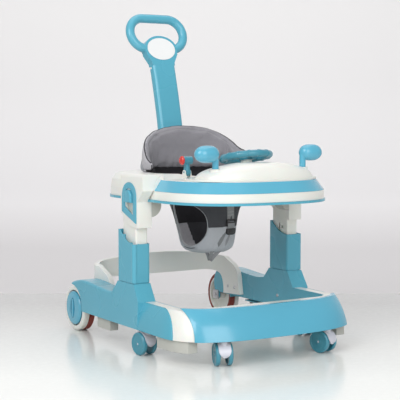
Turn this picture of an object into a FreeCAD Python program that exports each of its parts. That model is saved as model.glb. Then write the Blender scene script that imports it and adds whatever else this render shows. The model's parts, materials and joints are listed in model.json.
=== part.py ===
import FreeCAD, Part
import math
import os

# Baby walker: a horseshoe base on casters, two telescoping columns, a seat ring with a toy
# tray, a hanging fabric seat and a push handle. Millimetres, +Z up, the front faces -Y, the
# floor is z = 0 and the plane x = 0 is the plane of symmetry. +X is the child's left.

V = FreeCAD.Vector
ORIGIN = V(0, 0, 0)
X, Y, Z = V(1, 0, 0), V(0, 1, 0), V(0, 0, 1)
FAR = 2000.0  # larger than anything here, for cutting with half spaces
TINY = 1e-6
SEAT = 0.2  # gap between two pieces that sit against each other
SLIDE = 0.3  # gap at a sliding guide
RUN = 0.05  # radial gap of a running shaft
SOFT = 0.3  # gap between fabric and what it touches
SKIN = 3.0  # wall of the moulded shells

# ---- base: the bow is the rounded front of the horseshoe
RIM_Z = 66.0
RIM_HALF = 280.0
BOW_START = -205.5
BOW_DEPTH = 166.0
BOW_POWER = 3.0
BOW_MID_Z = 105.0
BOW_MID_SIDE = 9.0
BOW_MID_FRONT = 15.0
BOW_TOP_Z = 143.0
BOW_TOP_SIDE = 27.0
BOW_TOP_FRONT = 45.0
FRAME_TOP = 137.0
ARM_THICK = 56.0  # across an arm at the floor rim
WELL_HALF = RIM_HALF - ARM_THICK  # the child's walking space between the arms
WELL_FRONT = -262.0
WELL_RADIUS = 35.0
WELL_SKIN_END = -245.0
COVER_LIP = 10.0  # how far the cover's lip reaches over the frame's top
COVER_SEAM = ((-324.5, RIM_Z), (-309.0, 105.0), (-261.0, BOW_TOP_Z))
ARM_SEAM = ((-270.0, RIM_Z), (-256.0, 104.0), (-203.4, FRAME_TOP))
REAR_PAD = (72.0, 150.0)  # front-to-back extent of the stop pads
FRONT_PAD = (-304.0, -190.0)
PAD_SIDE = RIM_HALF - 60.0
PAD_BOTTOM = 35.0
PAD_INSET = 9.0
REAR_PAD_WIDTH = 25.0

# ---- arms, feet of the columns and wheel arches
FOOT_FRONT = -99.5
FOOT_BACK = 45.5
FOOT_BACK_Z = 152.0
FOOT_TOP = 182.0
COLUMN_STEP = 5.3
COLUMN_HALF = RIM_HALF - COLUMN_STEP  # outer face of the column
COLUMN_FRONT = -71.5
COLUMN_BACK = 18.5
HUMP = [(72.0, 148.0), (120.0, 149.0), (165.0, 152.5), (205.0, 155.5), (240.0, 156.0), (275.0, 151.5)]
ROOF_END = 306.0
ROOF_END_Z = 143.6
INNER_WALL = 4.0
INNER_RIM_Z = 75.0
CHEEK_BACK = 316.0
LUG_RADIUS = 16.0
HUMP_ROUND = 7.0

# ---- rear wheels
WHEEL_Y = 305.1
WHEEL_RADIUS = 66.0
ARCH_GAP = 4.5
WHEEL_OUT = RIM_HALF - 11.0
WHEEL_STEP = WHEEL_OUT - 18.0
WHEEL_IN = WHEEL_STEP - 17.0
RING_DEPTH = 10.0
CAP_RADIUS = 48.5
CAP_GAP = 4.0
CAP_PROUD = 4.0  # the cap rim stands out of the wheel by this
CAP_BULGE = 3.0
AXLE_RADIUS = 5.0
HUB_RADIUS = 14.0
WHEEL_WEB = 5.0

# ---- casters
FRONT_STEM = (RIM_HALF - 117.0, -337.5)
MID_STEM = (RIM_HALF - 21.0, -118.0)
CASTER_RADIUS = 30.0
CASTER_TRAIL = 14.0
CASTER_WIDTH = 44.0
TYRE_WIDTH = 11.0
FORK_WIDTH = 20.0
FORK_TOP = 63.0
STEM_RADIUS = 5.0
STEM_TOP = 88.0
BOSS_RADIUS = 10.0
BOSS_TOP = 93.0
PIN_RADIUS = 3.0
GUARD_GAP = 1.2
GUARD_WALL = 2.0
GUARD_WIDTH = 32.0
TONGUE_TOP = 44.0
TONGUE_LOW = 24.5
HEADINGS = {"front_left": 105.6, "front_right": 70.0, "mid_left": 84.0, "mid_right": 96.0}

# ---- columns
SLEEVE_WALL = 2.8
SLEEVE_FRONT_TOP = 287.0
SLEEVE_BACK_TOP = 322.0
SLEEVE_PLAY = 1.8
TUBE_IN = WELL_HALF + SLEEVE_WALL + SLEEVE_PLAY
TUBE_OUT = COLUMN_HALF - 11.2
TUBE_FRONT = -65.0
TUBE_BACK = 8.0
TUBE_WALL = 2.5
TUBE_BOTTOM = 196.0
TUBE_STEP = 364.0  # above this the tube narrows to clear the latch
TUBE_NECK = TUBE_OUT - 8.5
TUBE_TOP = 396.0
TUBE_ROUND = 4.0
TUBE_SLOT_Y = (-30.0, -24.0)  # slot and stop hole for the latch on the inner face
TUBE_SLOT_Z = (256.0, 318.0)
TUBE_HOLE_Y = (-44.0, -37.0)
TUBE_HOLE_Z = (304.0, 311.0)
RIB = 3.0
RIB_EDGE_Y = 18.0
RIB_EDGE_X = 5.0
SLEEVE_ROUND = 7.0
SEAM_HIGH = 1.8  # shadow line round the foot of the sleeve
SEAM_DEEP = 1.2
COLUMN_GAP = 43.0  # tube showing between sleeve and shoulder
SHOULDER_OUT = COLUMN_HALF - 7.7
SHOULDER_FRONT = -79.5
SHOULDER_BACK = 12.0
SHOULDER_NOSE = -109.0
SHOULDER_TOP = 473.0
SHOULDER_LAP = SHOULDER_OUT - 62.0
SHOULDER_ROUND = 10.0

BRACKET_WIDTH = 28.0
BRACKET_BOTTOM = 358.0
BRACKET_Y = (-79.0, -42.0)

# ---- latches on the shoulders
PLATE_THICK = 2.5
PLATE_BACK = 2.0
PLATE_FRONT = -75.0
PLATE_TOP = 450.0
PLATE_LOW_BACK = 371.0
PLATE_LOW_FRONT = 342.0
WINDOW_SIDE = 15.0
WINDOW_TOP = 434.0
WINDOW_LOW_BACK = 386.0
WINDOW_LOW_FRONT = 362.0
KNOB_TOP = 430.0
KNOB_BULGE = 6.0
KNOB_MARGIN = 4.5
KNOB_ROUND = 4.0
LATCH_TRAVEL = 10.0
POCKET = 9.0  # depth of the latch pocket behind the plate
POCKET_SIDE = 3.0
POCKET_LOW = 368.0
SHOULDER_CORE = SHOULDER_OUT - 13.0

# ---- seat ring
RING_HALF = COLUMN_HALF - 38.7
RING_FRONT_START = -118.9
RING_FRONT_DEPTH = 231.0
RING_FRONT_POWER = 2.67
RING_BACK_START = 90.0
RING_BACK_DEPTH = 165.5
RING_BACK_POWER = 2.5
TRIM_BOTTOM = 399.5
TRIM_TOP = 406.0
TRIM_WIDTH = 9.0
BAND_INSET = 3.0
BAND_BOTTOM = 429.0
BAND_TOP_INSET = 23.0
BAND_END = -110.0
RAMP = 48.0  # the slope behind the tray, up to the rear of the ring
DECK_TOP = 458.5
REAR_TOP = 470.0
REAR_EDGE = ((4.0, 452.0), (12.0, 464.0), (26.0, REAR_TOP))  # (inset, z) of the rounded rear edge
SEAT_HALF = RING_HALF - 71.0
SEAT_MID = 30.5
SEAT_DEPTH = 130.0
SEAT_POWER = 2.5

# ---- toy tray
TRAY_MID = -214.0
TRAY_HALF = RING_HALF - 46.0
TRAY_DEPTH = 103.0
TRAY_LIP = 5.0
TRAY_POWER = 2.6
DOME = [(0.0, 172.0, 80.0, -232.0), (14.0, 161.0, 73.0, -236.0), (27.0, 131.0, 60.0, -243.0),
        (36.5, 90.0, 40.0, -251.0), (40.5, 40.0, 18.0, -257.0)]
STEER_TILT = 11.0
STEER_CENTRE = (-191.5, 517.0)
STEER_RADIUS = 61.5
STEER_RIM = 9.0
STEER_RIBS = 14
STEER_HUB = 19.0
BUTTON_RADIUS = 13.0
BUTTON_TRAVEL = 3.0
STEER_SHAFT = 5.0
STEER_SHAFT_DEPTH = 32.0
MIRROR_X = 137.4
MIRROR_Y = -257.3
MIRROR_BASE_Z = 489.7
MIRROR_STALK = 8.5
MIRROR_PIN = 4.0
MIRROR_PIN_DEPTH = 13.0
MIRROR_ROOM = 2.0
MIRROR_INSET = 1.2
MIRROR_Z = 528.0
MIRROR_TIP = 198.0
MIRROR_EGG = 22.0
LEVER_X = -155.0
LEVER_Y = -146.0
LEVER_PIVOT_Z = 478.0
LEVER_HEAD_Z = 509.0
LEVER_HEAD_RADIUS = 10.5
LEVER_HEAD_HALF = 13.0
LEVER_FOOT = 10.0
LEVER_FOOT_HALF = 6.0
LEVER_NECK = 6.5
LEVER_PIN = 3.0
LEVER_DISC = 11.5

# ---- push handle
POST_FOOT = (180.7, 426.0)
POST_STRAIGHT = (211.5, 606.0)
POST_NECK = (255.5, 773.0)
POST_WIDTH = 76.0
POST_DEPTH = 28.0
POST_ROUND = 9.0
POST_SAG = 1.6
SOCKET_WALL = 3.0
FLANGE_WIDTH = 9.0
SNAP = 3.0
SNAP_DROP = 7.0
SNAP_LENGTH = 6.5
LOOP_LEAN = 18.0
DISC_UP = 50.5
DISC_HALF = 54.5
DISC_HIGH = 41.3
BADGE_HALF = 46.5
BADGE_HIGH = 34.0
DISC_DEPTH = 24.0
BADGE_PROUD = 0.6
BADGE_SEAT = 1.5  # depth of the recess that the badge sits in
LOOP_TUBE = 13.3
LOOP_X = 41.5
LOOP_UP = 102.0
LOOP_RADIUS = 48.0
LOOP_END_ANGLE = -80.0
LOOP_TAIL = 24.0

# ---- rear brace
BRACE_OUT = WELL_HALF - SEAT
BRACE_BACK = 312.0
BRACE_CORNER = 62.0
BRACE_THICK = 15.0
BRACE_UNDER = 150.0
BRACE_RISE = 232.0
BRACE_MID_TOP = 214.0
BRACE_SIDE_TOP = 192.0
BRACE_LOWER = [(152.0, 85.0), (242.0, 80.0), (244.0, 112.0), (257.0, 136.0), (284.0, 148.0)]
BRACE_UPPER = [(262.0, 206.0), (222.0, 187.0), (178.0, 166.0), (160.0, 128.0)]

# ---- fabric seat
CLOTH = 4.0
SLING = [(462.0, SEAT_HALF - SOFT, SEAT_DEPTH - SOFT, SEAT_MID), (430.0, 122.0, 108.0, 23.0),
         (398.0, 101.0, 97.0, 14.0), (350.0, 84.0, 88.0, 7.0), (300.0, 71.0, 80.0, 4.0), (266.0, 64.0, 70.0, 4.0),
         (250.0, 50.0, 53.0, 4.0)]
CROTCH_HALF = 44.0
LEG_Y = -13.0
LEG_Z = 328.0
LEG_HALF_Y = 65.0
LEG_HALF_Z = 69.0
STRAP_X = (15.0, 40.0)
STRAP_Z = (318.0, 396.0)
STRAP_THICK = 1.8
BUCKLE_Z = (299.0, 342.0)
BUCKLE_THICK = 8.0
BACK_MID = 20.0
BACK_HALF = SEAT_HALF + 3.0
BACK_DEEP = 138.0
BACK_POWER = 3.0
BACK_THICK = 18.0
BACK_BOTTOM = 440.0
BACK_FRONT = 34.0
BACK_TOP = 605.0
BACK_SIDE = [(161.0, 520.0), (155.0, 550.0), (136.0, 572.0), (106.0, 589.5), (60.0, 600.5)]


# ---------------------------------------------------------------- helpers
def yz(a, b):
    return V(0, a, b)


def xz(a, b):
    return V(a, 0, b)


def xy(a, b):
    return V(a, b, 0)


def block(x, y, z):
    """A box from three (low, high) pairs."""
    return Part.makeBox(x[1] - x[0], y[1] - y[0], z[1] - z[0], V(x[0], y[0], z[0]))


def rod(start, along, radius, length):
    return Part.makeCylinder(radius, length, start, along)


def outline(place, start, steps):
    """A face. A step is a point (line), a pair of points (arc) or a list of points (spline)."""
    edges = []
    here = place(*start)
    for step in steps:
        if isinstance(step, list):
            points = [here] + [place(*p) for p in step]
            curve = Part.BSplineCurve()
            curve.interpolate(points)
            edges.append(curve.toShape())
        elif isinstance(step[0], tuple):
            points = [here] + [place(*p) for p in step]
            edges.append(Part.Arc(*points).toShape())
        else:
            points = [here, place(*step)]
            edges.append(Part.makeLine(*points))
        here = points[-1]
    if here.distanceToPoint(place(*start)) > TINY:
        edges.append(Part.makeLine(here, place(*start)))
    return Part.Face(Part.Wire(edges))


def across(face, x):
    """A face in the YZ plane, drawn out from x[0] to x[1]."""
    return face.translated(V(x[0], 0, 0)).extrude(V(x[1] - x[0], 0, 0))


def along(face, y):
    """A face in the XZ plane, drawn out from y[0] to y[1]."""
    return face.translated(V(0, y[0], 0)).extrude(V(0, y[1] - y[0], 0))


def upright(face, z):
    """A face in the XY plane, drawn out from z[0] to z[1]."""
    return face.translated(V(0, 0, z[0])).extrude(V(0, 0, z[1] - z[0]))


def turned(base, axis, profile):
    """A body of revolution: profile holds (radius, distance along the axis) corners."""
    side = Z.cross(axis) if abs(axis.dot(Z)) < 0.9 else X
    side.normalize()
    corners = [base + axis * h + side * r for r, h in profile]
    return Part.Face(Part.makePolygon(corners + corners[:1])).revolve(base, axis, 360)


def cut_to(shape, x=(-FAR, FAR), y=(-FAR, FAR), z=(-FAR, FAR)):
    """The part of a shape inside a box."""
    return shape.common(block(x, y, z))


def rounded_block(x, y, z, radius):
    """A box with its four upright edges rounded."""
    body = block(x, y, z)
    edges = [e for e in body.Edges if abs(e.tangentAt(e.FirstParameter).dot(Z)) > 0.9]
    return body.makeFillet(radius, edges)


def other_side(shape):
    return shape.mirror(ORIGIN, X)


def power_curve(half, depth, power, middle, z, start, end):
    """Part of a superellipse about (0, middle) as one spline edge, between two angles."""
    steps = 28
    points = []
    for i in range(steps + 1):
        angle = math.radians(start + (end - start) * i / steps)
        c, s = math.cos(angle), math.sin(angle)
        x = half * math.copysign(abs(c) ** (2 / power), c)
        y = depth * math.copysign(abs(s) ** (2 / power), s)
        points.append(V(x, middle + y, z))
    curve = Part.BSplineCurve()
    curve.interpolate(points)
    return curve.toShape()


def oval_wire(half, depth, power, middle, z):
    """A closed superellipse, as a front half and a back half."""
    front = power_curve(half, depth, power, middle, z, -180, 0)
    back = power_curve(half, depth, power, middle, z, 0, 180)
    return Part.Wire([front, back])


def export(name, shape):
    shape.exportStep(os.path.join("parts", name + ".step"))


# ---------------------------------------------------------------- base
def bow_wire(inset, z, side, front):
    half = RIM_HALF - side - inset
    bow = power_curve(half, BOW_DEPTH - front - inset, BOW_POWER, BOW_START, z, -180, 0)
    a, b = V(-half, COLUMN_FRONT, z), V(half, COLUMN_FRONT, z)
    left, right = bow.valueAt(bow.LastParameter), bow.valueAt(bow.FirstParameter)
    return Part.Wire([bow, Part.makeLine(left, b), Part.makeLine(b, a), Part.makeLine(a, right)])


def bow_body(inset, top):
    """The rounded front of the base as one solid, without its walking space."""
    sections = [
        bow_wire(inset, RIM_Z, 0, 0),
        bow_wire(inset, BOW_MID_Z, BOW_MID_SIDE, BOW_MID_FRONT),
        bow_wire(inset, BOW_TOP_Z, BOW_TOP_SIDE, BOW_TOP_FRONT),
    ]
    return cut_to(Part.makeLoft(sections, True), z=(0, top))


def well(grow, z):
    """The walking space between the arms, grown by a wall."""
    half = WELL_HALF + grow
    return rounded_block((-half, half), (WELL_FRONT - grow, FAR), z, WELL_RADIUS + grow)


def seam_prism(seam, y_end):
    """Everything from a curved seam to y_end, over the whole width."""
    steps = [(seam[1], seam[2]), (y_end, seam[2][1]), (y_end, seam[0][1])]
    return across(outline(yz, seam[0], steps), (-FAR, FAR))


def boss_ribs(x, y):
    side = block((x - RIB / 2, x + RIB / 2), (BOW_START - BOW_DEPTH, WELL_FRONT), (RIM_Z, FRAME_TOP))
    cross = block((WELL_HALF, RIM_HALF), (y - RIB / 2, y + RIB / 2), (RIM_Z, FRAME_TOP))
    return side if x < WELL_HALF else cross


def front_frame():
    outer = bow_body(SKIN + SEAT, FRAME_TOP)
    body = outer.cut(well(0, (0, FAR)))
    inner = bow_body(2 * SKIN, FRAME_TOP - SKIN)
    hollow = inner.cut(well(2 * SKIN + SEAT, (0, FAR)))
    body = body.cut(hollow)
    floor = cut_to(outer, x=(PAD_SIDE, FAR), y=FRONT_PAD, z=(RIM_Z, RIM_Z + SKIN))
    floor = floor.cut(well(SKIN, (0, FAR)))
    body = body.fuse([floor, other_side(floor)])
    for stem_x, stem_y in (FRONT_STEM, MID_STEM):
        post = rod(V(stem_x, stem_y, RIM_Z), Z, BOSS_RADIUS, BOSS_TOP - RIM_Z)
        post = post.fuse(boss_ribs(stem_x, stem_y)).common(outer)
        body = body.fuse([post, other_side(post)])
    for stem_x, stem_y in (FRONT_STEM, MID_STEM):
        bore = rod(V(stem_x, stem_y, 0), Z, STEM_RADIUS + RUN, STEM_TOP + SEAT)
        body = body.cut(bore).cut(other_side(bore))
    body = body.cut(cut_to(well(SKIN + SEAT, (0, FAR)), y=(WELL_SKIN_END - SEAT, FAR)))
    return cut_to(body, y=(-FAR, FOOT_FRONT - SEAT)).removeSplitter()


def front_cover():
    body = bow_body(0, BOW_TOP_Z).cut(bow_body(SKIN, FRAME_TOP))
    body = body.cut(seam_prism(COVER_SEAM, FAR))
    lip = power_curve(
        RIM_HALF - BOW_TOP_SIDE - COVER_LIP,
        BOW_DEPTH - BOW_TOP_FRONT - COVER_LIP,
        BOW_POWER, BOW_START, 0, -180, 0)
    ends = [lip.valueAt(lip.LastParameter), lip.valueAt(lip.FirstParameter)]
    corners = [ends[0], V(ends[0].x, FOOT_FRONT, 0), V(ends[1].x, FOOT_FRONT, 0), ends[1]]
    sides = [Part.makeLine(corners[i], corners[i + 1]) for i in range(3)]
    window = upright(Part.Face(Part.Wire([lip] + sides)), (0, FAR))
    return body.cut(window)


def arm_side(wall):
    """Side view of an arm: column foot, hump and wheel arch, less a wall for its inside."""
    arch = WHEEL_RADIUS + ARCH_GAP + wall
    end = ROOF_END - wall
    low = RIM_Z - 2 * wall
    rise = math.sqrt(arch ** 2 - (end - WHEEL_Y) ** 2)
    slant = arch * math.sqrt(0.5)
    steps = [
        (FOOT_FRONT + wall, FRAME_TOP - wall),
        (COLUMN_FRONT + wall, FOOT_TOP - wall),
        (COLUMN_BACK - wall, FOOT_TOP - wall),
        (FOOT_BACK - wall, FOOT_BACK_Z - wall),
        [(y, z - wall) for y, z in HUMP + [(end, ROOF_END_Z)]],
        (end, WHEEL_RADIUS + rise),
        ((WHEEL_Y - slant, WHEEL_RADIUS + slant), (WHEEL_Y - arch, WHEEL_RADIUS)),
        (WHEEL_Y - arch, low),
    ]
    if not wall:
        steps.pop()
    return outline(yz, (FOOT_FRONT + wall, low), steps)


def arm_front(thin):
    """Front view of an arm, with its outer face leaning in; thin takes off a wall."""
    slope = (RIM_HALF - COLUMN_HALF) / (FOOT_TOP - RIM_Z)
    low = RIM_HALF - thin + slope * RIM_Z
    high = COLUMN_HALF - thin - slope * SKIN
    inner = WELL_HALF + (INNER_WALL if thin else 0)
    return outline(xz, (inner, 0), [(low, 0), (high, FOOT_TOP + SKIN), (inner, FOOT_TOP + SKIN)])


def arm():
    body = across(arm_side(0), (WELL_HALF, RIM_HALF)).common(along(arm_front(0), (-FAR, FAR)))
    crest = [e for e in body.Edges
             if e.CenterOfMass.x > COLUMN_HALF - SKIN and e.CenterOfMass.y > COLUMN_BACK
             and e.CenterOfMass.z > FRAME_TOP and e.BoundBox.YLength > 100]
    body = body.makeFillet(HUMP_ROUND, crest)
    core = across(arm_side(SKIN), (WELL_HALF, RIM_HALF)).common(along(arm_front(SKIN), (-FAR, FAR)))
    body = body.cut(core)
    mouth = sleeve_core(FOOT_TOP - 4 * SKIN, FOOT_TOP + SKIN)
    body = body.cut(mouth)
    floor = block((WELL_HALF, RIM_HALF), REAR_PAD, (RIM_Z, RIM_Z + SKIN))
    body = body.fuse(floor.common(along(arm_front(0), (-FAR, FAR))))
    body = body.cut(block((0, WELL_HALF + INNER_WALL), (FOOT_BACK, FAR), (0, INNER_RIM_Z)))
    cheek = outline(yz, (WHEEL_Y - WHEEL_RADIUS - 2 * ARCH_GAP, INNER_RIM_Z), [
        (CHEEK_BACK - ARCH_GAP, INNER_RIM_Z),
        ((CHEEK_BACK, INNER_RIM_Z + 2 * ARCH_GAP), (ROOF_END, ROOF_END_Z - ARCH_GAP)),
        (WHEEL_Y - WHEEL_RADIUS - 2 * ARCH_GAP, ROOF_END_Z - ARCH_GAP)])
    body = body.fuse(across(cheek, (WELL_HALF, WELL_HALF + INNER_WALL)))
    body = body.fuse(rod(V(WELL_HALF, WHEEL_Y, WHEEL_RADIUS), X, LUG_RADIUS, INNER_WALL))
    body = body.cut(rod(V(0, WHEEL_Y, WHEEL_RADIUS), X, AXLE_RADIUS + RUN, FAR))
    side = bow_body(0, FRAME_TOP).cut(bow_body(SKIN, FRAME_TOP))
    behind = across(outline(yz, ARM_SEAM[0], [
        (ARM_SEAM[1], ARM_SEAM[2]), (FOOT_FRONT + SKIN, FRAME_TOP), (FOOT_FRONT + SKIN, RIM_Z)]),
        (WELL_HALF, FAR))
    side = side.common(behind)
    lining = well(SKIN, (INNER_RIM_Z, FRAME_TOP)).cut(well(0, (0, FAR)))
    lining = cut_to(lining, x=(0, FAR), y=(WELL_SKIN_END, FOOT_FRONT + SKIN))
    return body.fuse([side, lining]).removeSplitter()


def stop_pads():
    """Rubber-faced blocks that ground the base at the edge of a step."""
    side = RIM_HALF - PAD_INSET
    rear = block((side - REAR_PAD_WIDTH, side), REAR_PAD, (PAD_BOTTOM, RIM_Z))
    outer = Part.Face(bow_wire(PAD_INSET, 0, 0, 0))
    front = upright(outer, (PAD_BOTTOM, RIM_Z)).cut(well(PAD_INSET, (0, FAR)))
    front = cut_to(front, x=(PAD_SIDE, FAR), y=FRONT_PAD)
    return Part.makeCompound([rear, other_side(rear), front, other_side(front)])


def arch_bar():
    """Flat U-shaped brace that ties the two arms together behind the child."""
    front, far_back, wide = BRACE_LOWER[0][0] - SKIN, BRACE_BACK + SKIN, BRACE_OUT + SKIN
    span = BRACE_OUT - BRACE_THICK
    height = (BRACE_LOWER[1][1] - SKIN, BRACE_RISE)
    outer = rounded_block((-BRACE_OUT, BRACE_OUT), (0, BRACE_BACK), height, BRACE_CORNER)
    inner = rounded_block((-span, span), (0, BRACE_BACK - BRACE_THICK), (0, FAR),
                          BRACE_CORNER - BRACE_THICK)
    plan = cut_to(outer.cut(inner), y=(front, FAR))
    side = outline(yz, BRACE_LOWER[0], [BRACE_LOWER[1], BRACE_LOWER[2:] + [(far_back, BRACE_UNDER)],
                                        (far_back, BRACE_RISE), BRACE_UPPER])
    top = outline(xz, (-wide, 0), [
        (-wide, BRACE_SIDE_TOP), ((0.0, BRACE_MID_TOP), (wide, BRACE_SIDE_TOP)), (wide, 0)])
    return plan.common(across(side, (-wide, wide))).common(along(top, (0, FAR)))


def base_screws():
    """Screws through the arms: one in each column foot, two in each end of the brace."""
    screws = []
    for y, z, inside in ((-25.0, 106.0, WELL_HALF), (180.0, 104.0, BRACE_OUT - BRACE_THICK),
                         (215.0, 104.0, BRACE_OUT - BRACE_THICK)):
        head = turned(V(inside, y, z), -X, [(0, 0), (5.0, 0), (4.2, 2.0), (2.0, 2.6), (0, 2.6)])
        screws += [head, other_side(head)]
    return Part.makeCompound(screws)


# ---------------------------------------------------------------- columns
def sleeve_top(lift):
    """Side outline above the sleeve's scooped top edge, lifted by a gap."""
    return outline(yz, (-FAR, SLEEVE_FRONT_TOP + lift), [
        (COLUMN_FRONT, SLEEVE_FRONT_TOP + lift),
        (COLUMN_FRONT + 22.0, SLEEVE_FRONT_TOP + lift + 2.0),
        ((COLUMN_FRONT + 50.0, SLEEVE_FRONT_TOP + lift + 13.0),
         (COLUMN_BACK - 12.0, SLEEVE_BACK_TOP + lift)),
        (FAR, SLEEVE_BACK_TOP + lift), (FAR, FAR), (-FAR, FAR)])


def sleeve_core(low, high):
    """Inside of the sleeve, which runs on into the foot below it."""
    return rounded_block(
        (WELL_HALF + SLEEVE_WALL, COLUMN_HALF - SLEEVE_WALL),
        (COLUMN_FRONT + SLEEVE_WALL, COLUMN_BACK - SLEEVE_WALL), (low, high), SLEEVE_WALL)


def column_sleeve():
    z = (FOOT_TOP + SEAT, SLEEVE_BACK_TOP)
    body = rounded_block((WELL_HALF, COLUMN_HALF), (COLUMN_FRONT, COLUMN_BACK), z, SLEEVE_ROUND)
    corner = V(COLUMN_HALF - SLEEVE_ROUND, COLUMN_FRONT + SLEEVE_ROUND, z[0])
    body = body.fuse(rod(corner, Z, SLEEVE_ROUND + 1.0, z[1] - z[0])).cut(sleeve_core(0, FAR))
    ribs = []
    for y in (TUBE_FRONT + RIB_EDGE_Y, TUBE_BACK - RIB_EDGE_Y):
        ribs.append(block((WELL_HALF, TUBE_IN - SLIDE), (y, y + RIB), z))
        ribs.append(block((TUBE_OUT + SLIDE, COLUMN_HALF - 1.0), (y, y + RIB), z))
    for x in (TUBE_IN + RIB_EDGE_X, TUBE_OUT - RIB_EDGE_X - RIB):
        ribs.append(block((x, x + RIB), (COLUMN_FRONT + 1.0, TUBE_FRONT - SLIDE), z))
        ribs.append(block((x, x + RIB), (TUBE_BACK + SLIDE, COLUMN_BACK - 1.0), z))
    seam = (z[0], z[0] + SEAM_HIGH)
    waist = rounded_block((WELL_HALF + SEAM_DEEP, COLUMN_HALF - SEAM_DEEP),
                          (COLUMN_FRONT + SEAM_DEEP, COLUMN_BACK - SEAM_DEEP), seam, SLEEVE_ROUND)
    body = body.fuse(ribs).cut(block((0, FAR), (-FAR, FAR), seam).cut(waist))
    return body.cut(across(sleeve_top(0), (-FAR, FAR))).removeSplitter()


def tube_body(grow, low, top):
    """Oval column tube, grown by a gap or shrunk by its wall, with its narrower neck."""
    y = (TUBE_FRONT - grow, TUBE_BACK + grow)
    radius = TUBE_ROUND + grow
    lower = rounded_block((TUBE_IN - grow, TUBE_OUT + grow), y, (low, TUBE_STEP + grow), radius)
    neck = rounded_block((TUBE_IN - grow, TUBE_NECK + grow), y, (low, top), radius)
    return lower.fuse(neck)


def column_tube():
    body = tube_body(0, TUBE_BOTTOM, TUBE_TOP).cut(tube_body(-TUBE_WALL, 0, FAR))
    inner_wall = (0, TUBE_IN + 2 * TUBE_WALL)
    slot = block(inner_wall, TUBE_SLOT_Y, TUBE_SLOT_Z)
    hole = block(inner_wall, TUBE_HOLE_Y, TUBE_HOLE_Z)
    return body.cut(slot).cut(hole).removeSplitter()


def shoulder_side():
    """Side view of a shoulder: its lower edge follows the sleeve's top edge."""
    lower = outline(yz, (SHOULDER_NOSE, 0), [
        (SHOULDER_BACK, 0), (SHOULDER_BACK, SHOULDER_TOP), (SHOULDER_NOSE, SHOULDER_TOP),
        (SHOULDER_NOSE, BAND_BOTTOM), (SHOULDER_FRONT, TRIM_BOTTOM), (SHOULDER_FRONT, 0),
        (SHOULDER_NOSE, 0)])
    return lower.common(sleeve_top(COLUMN_GAP))


def shoulder():
    side = shoulder_side()
    body = across(side, (WELL_HALF, SHOULDER_OUT))
    edges = [e for e in body.Edges
             if e.CenterOfMass.x > SHOULDER_OUT - 1 and e.CenterOfMass.z > SHOULDER_TOP - 1]
    body = body.makeFillet(SHOULDER_ROUND, edges)
    lap = block((SHOULDER_LAP, RING_HALF), (SHOULDER_NOSE, SHOULDER_BACK), (BAND_BOTTOM, SHOULDER_TOP))
    beside = block((0, RING_HALF + SEAT), (-FAR, FAR), (TRIM_BOTTOM - SEAT, BAND_BOTTOM + SEAT))
    body = body.fuse(lap).cut([beside] + rear_edge(-SEAT))
    core = block((0, SHOULDER_CORE), (SHOULDER_FRONT + 2 * SKIN, SHOULDER_BACK - 2 * SKIN),
                 (TRIM_TOP + SKIN, REAR_TOP - SKIN))
    body = body.cut(core)
    body = body.cut(tube_body(SEAT, 0, TUBE_TOP + SEAT))
    pocket = block((SHOULDER_OUT - POCKET, FAR), latch_span(0), (POCKET_LOW, KNOB_TOP))
    return body.cut(pocket).removeSplitter()


def latch_span(gap):
    """Front-to-back extent of the latch pocket, or of what slides in it."""
    return (PLATE_FRONT + WINDOW_SIDE + POCKET_SIDE + gap, PLATE_BACK - WINDOW_SIDE - POCKET_SIDE - gap)


def plate_face():
    middle = (PLATE_FRONT + PLATE_BACK) / 2
    half = (PLATE_BACK - PLATE_FRONT) / 2
    spring_z = PLATE_TOP - half
    return outline(yz, (PLATE_FRONT, PLATE_LOW_FRONT), [
        (PLATE_FRONT, spring_z), ((middle, PLATE_TOP), (PLATE_BACK, spring_z)),
        (PLATE_BACK, PLATE_LOW_BACK)])


def window_face(grow):
    front, back = PLATE_FRONT + WINDOW_SIDE - grow, PLATE_BACK - WINDOW_SIDE + grow
    half = (back - front) / 2
    spring_z = WINDOW_TOP + grow - half
    return outline(yz, (front, WINDOW_LOW_FRONT - grow), [
        (front, spring_z), (((front + back) / 2, WINDOW_TOP + grow), (back, spring_z)),
        (back, WINDOW_LOW_BACK - grow)])


def latch_plate():
    x = (SHOULDER_OUT + SEAT, SHOULDER_OUT + SEAT + PLATE_THICK)
    return across(plate_face(), x).cut(across(window_face(0), (0, FAR)))


def latch_knob():
    """Bulging thumb piece that is pulled down inside its window."""
    low = WINDOW_LOW_BACK + LATCH_TRAVEL
    x = (SHOULDER_OUT - POCKET / 2, SHOULDER_OUT + SEAT + PLATE_THICK + KNOB_BULGE)
    body = cut_to(across(window_face(-KNOB_MARGIN), x), z=(low, FAR))
    outer = [e for e in body.Edges if e.CenterOfMass.x > x[1] - TINY]
    body = body.makeFillet(KNOB_ROUND, outer)
    slider = block((SHOULDER_OUT - POCKET + SLIDE, SHOULDER_OUT - SEAT / 2), latch_span(SLIDE),
                   (low, KNOB_TOP - SLIDE))
    return body.fuse(slider).removeSplitter()


def ring_bracket():
    """Rounded ear under the ring, against the inner face of the shoulder."""
    side = WELL_HALF - SEAT
    face = outline(xz, (side, TRIM_BOTTOM - SEAT), [
        (side, BRACKET_BOTTOM), ((side - 0.7 * BRACKET_WIDTH, BRACKET_BOTTOM + 0.3 * BRACKET_WIDTH),
                                 (side - BRACKET_WIDTH, TRIM_BOTTOM - SEAT))])
    return along(face, BRACKET_Y)


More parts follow.
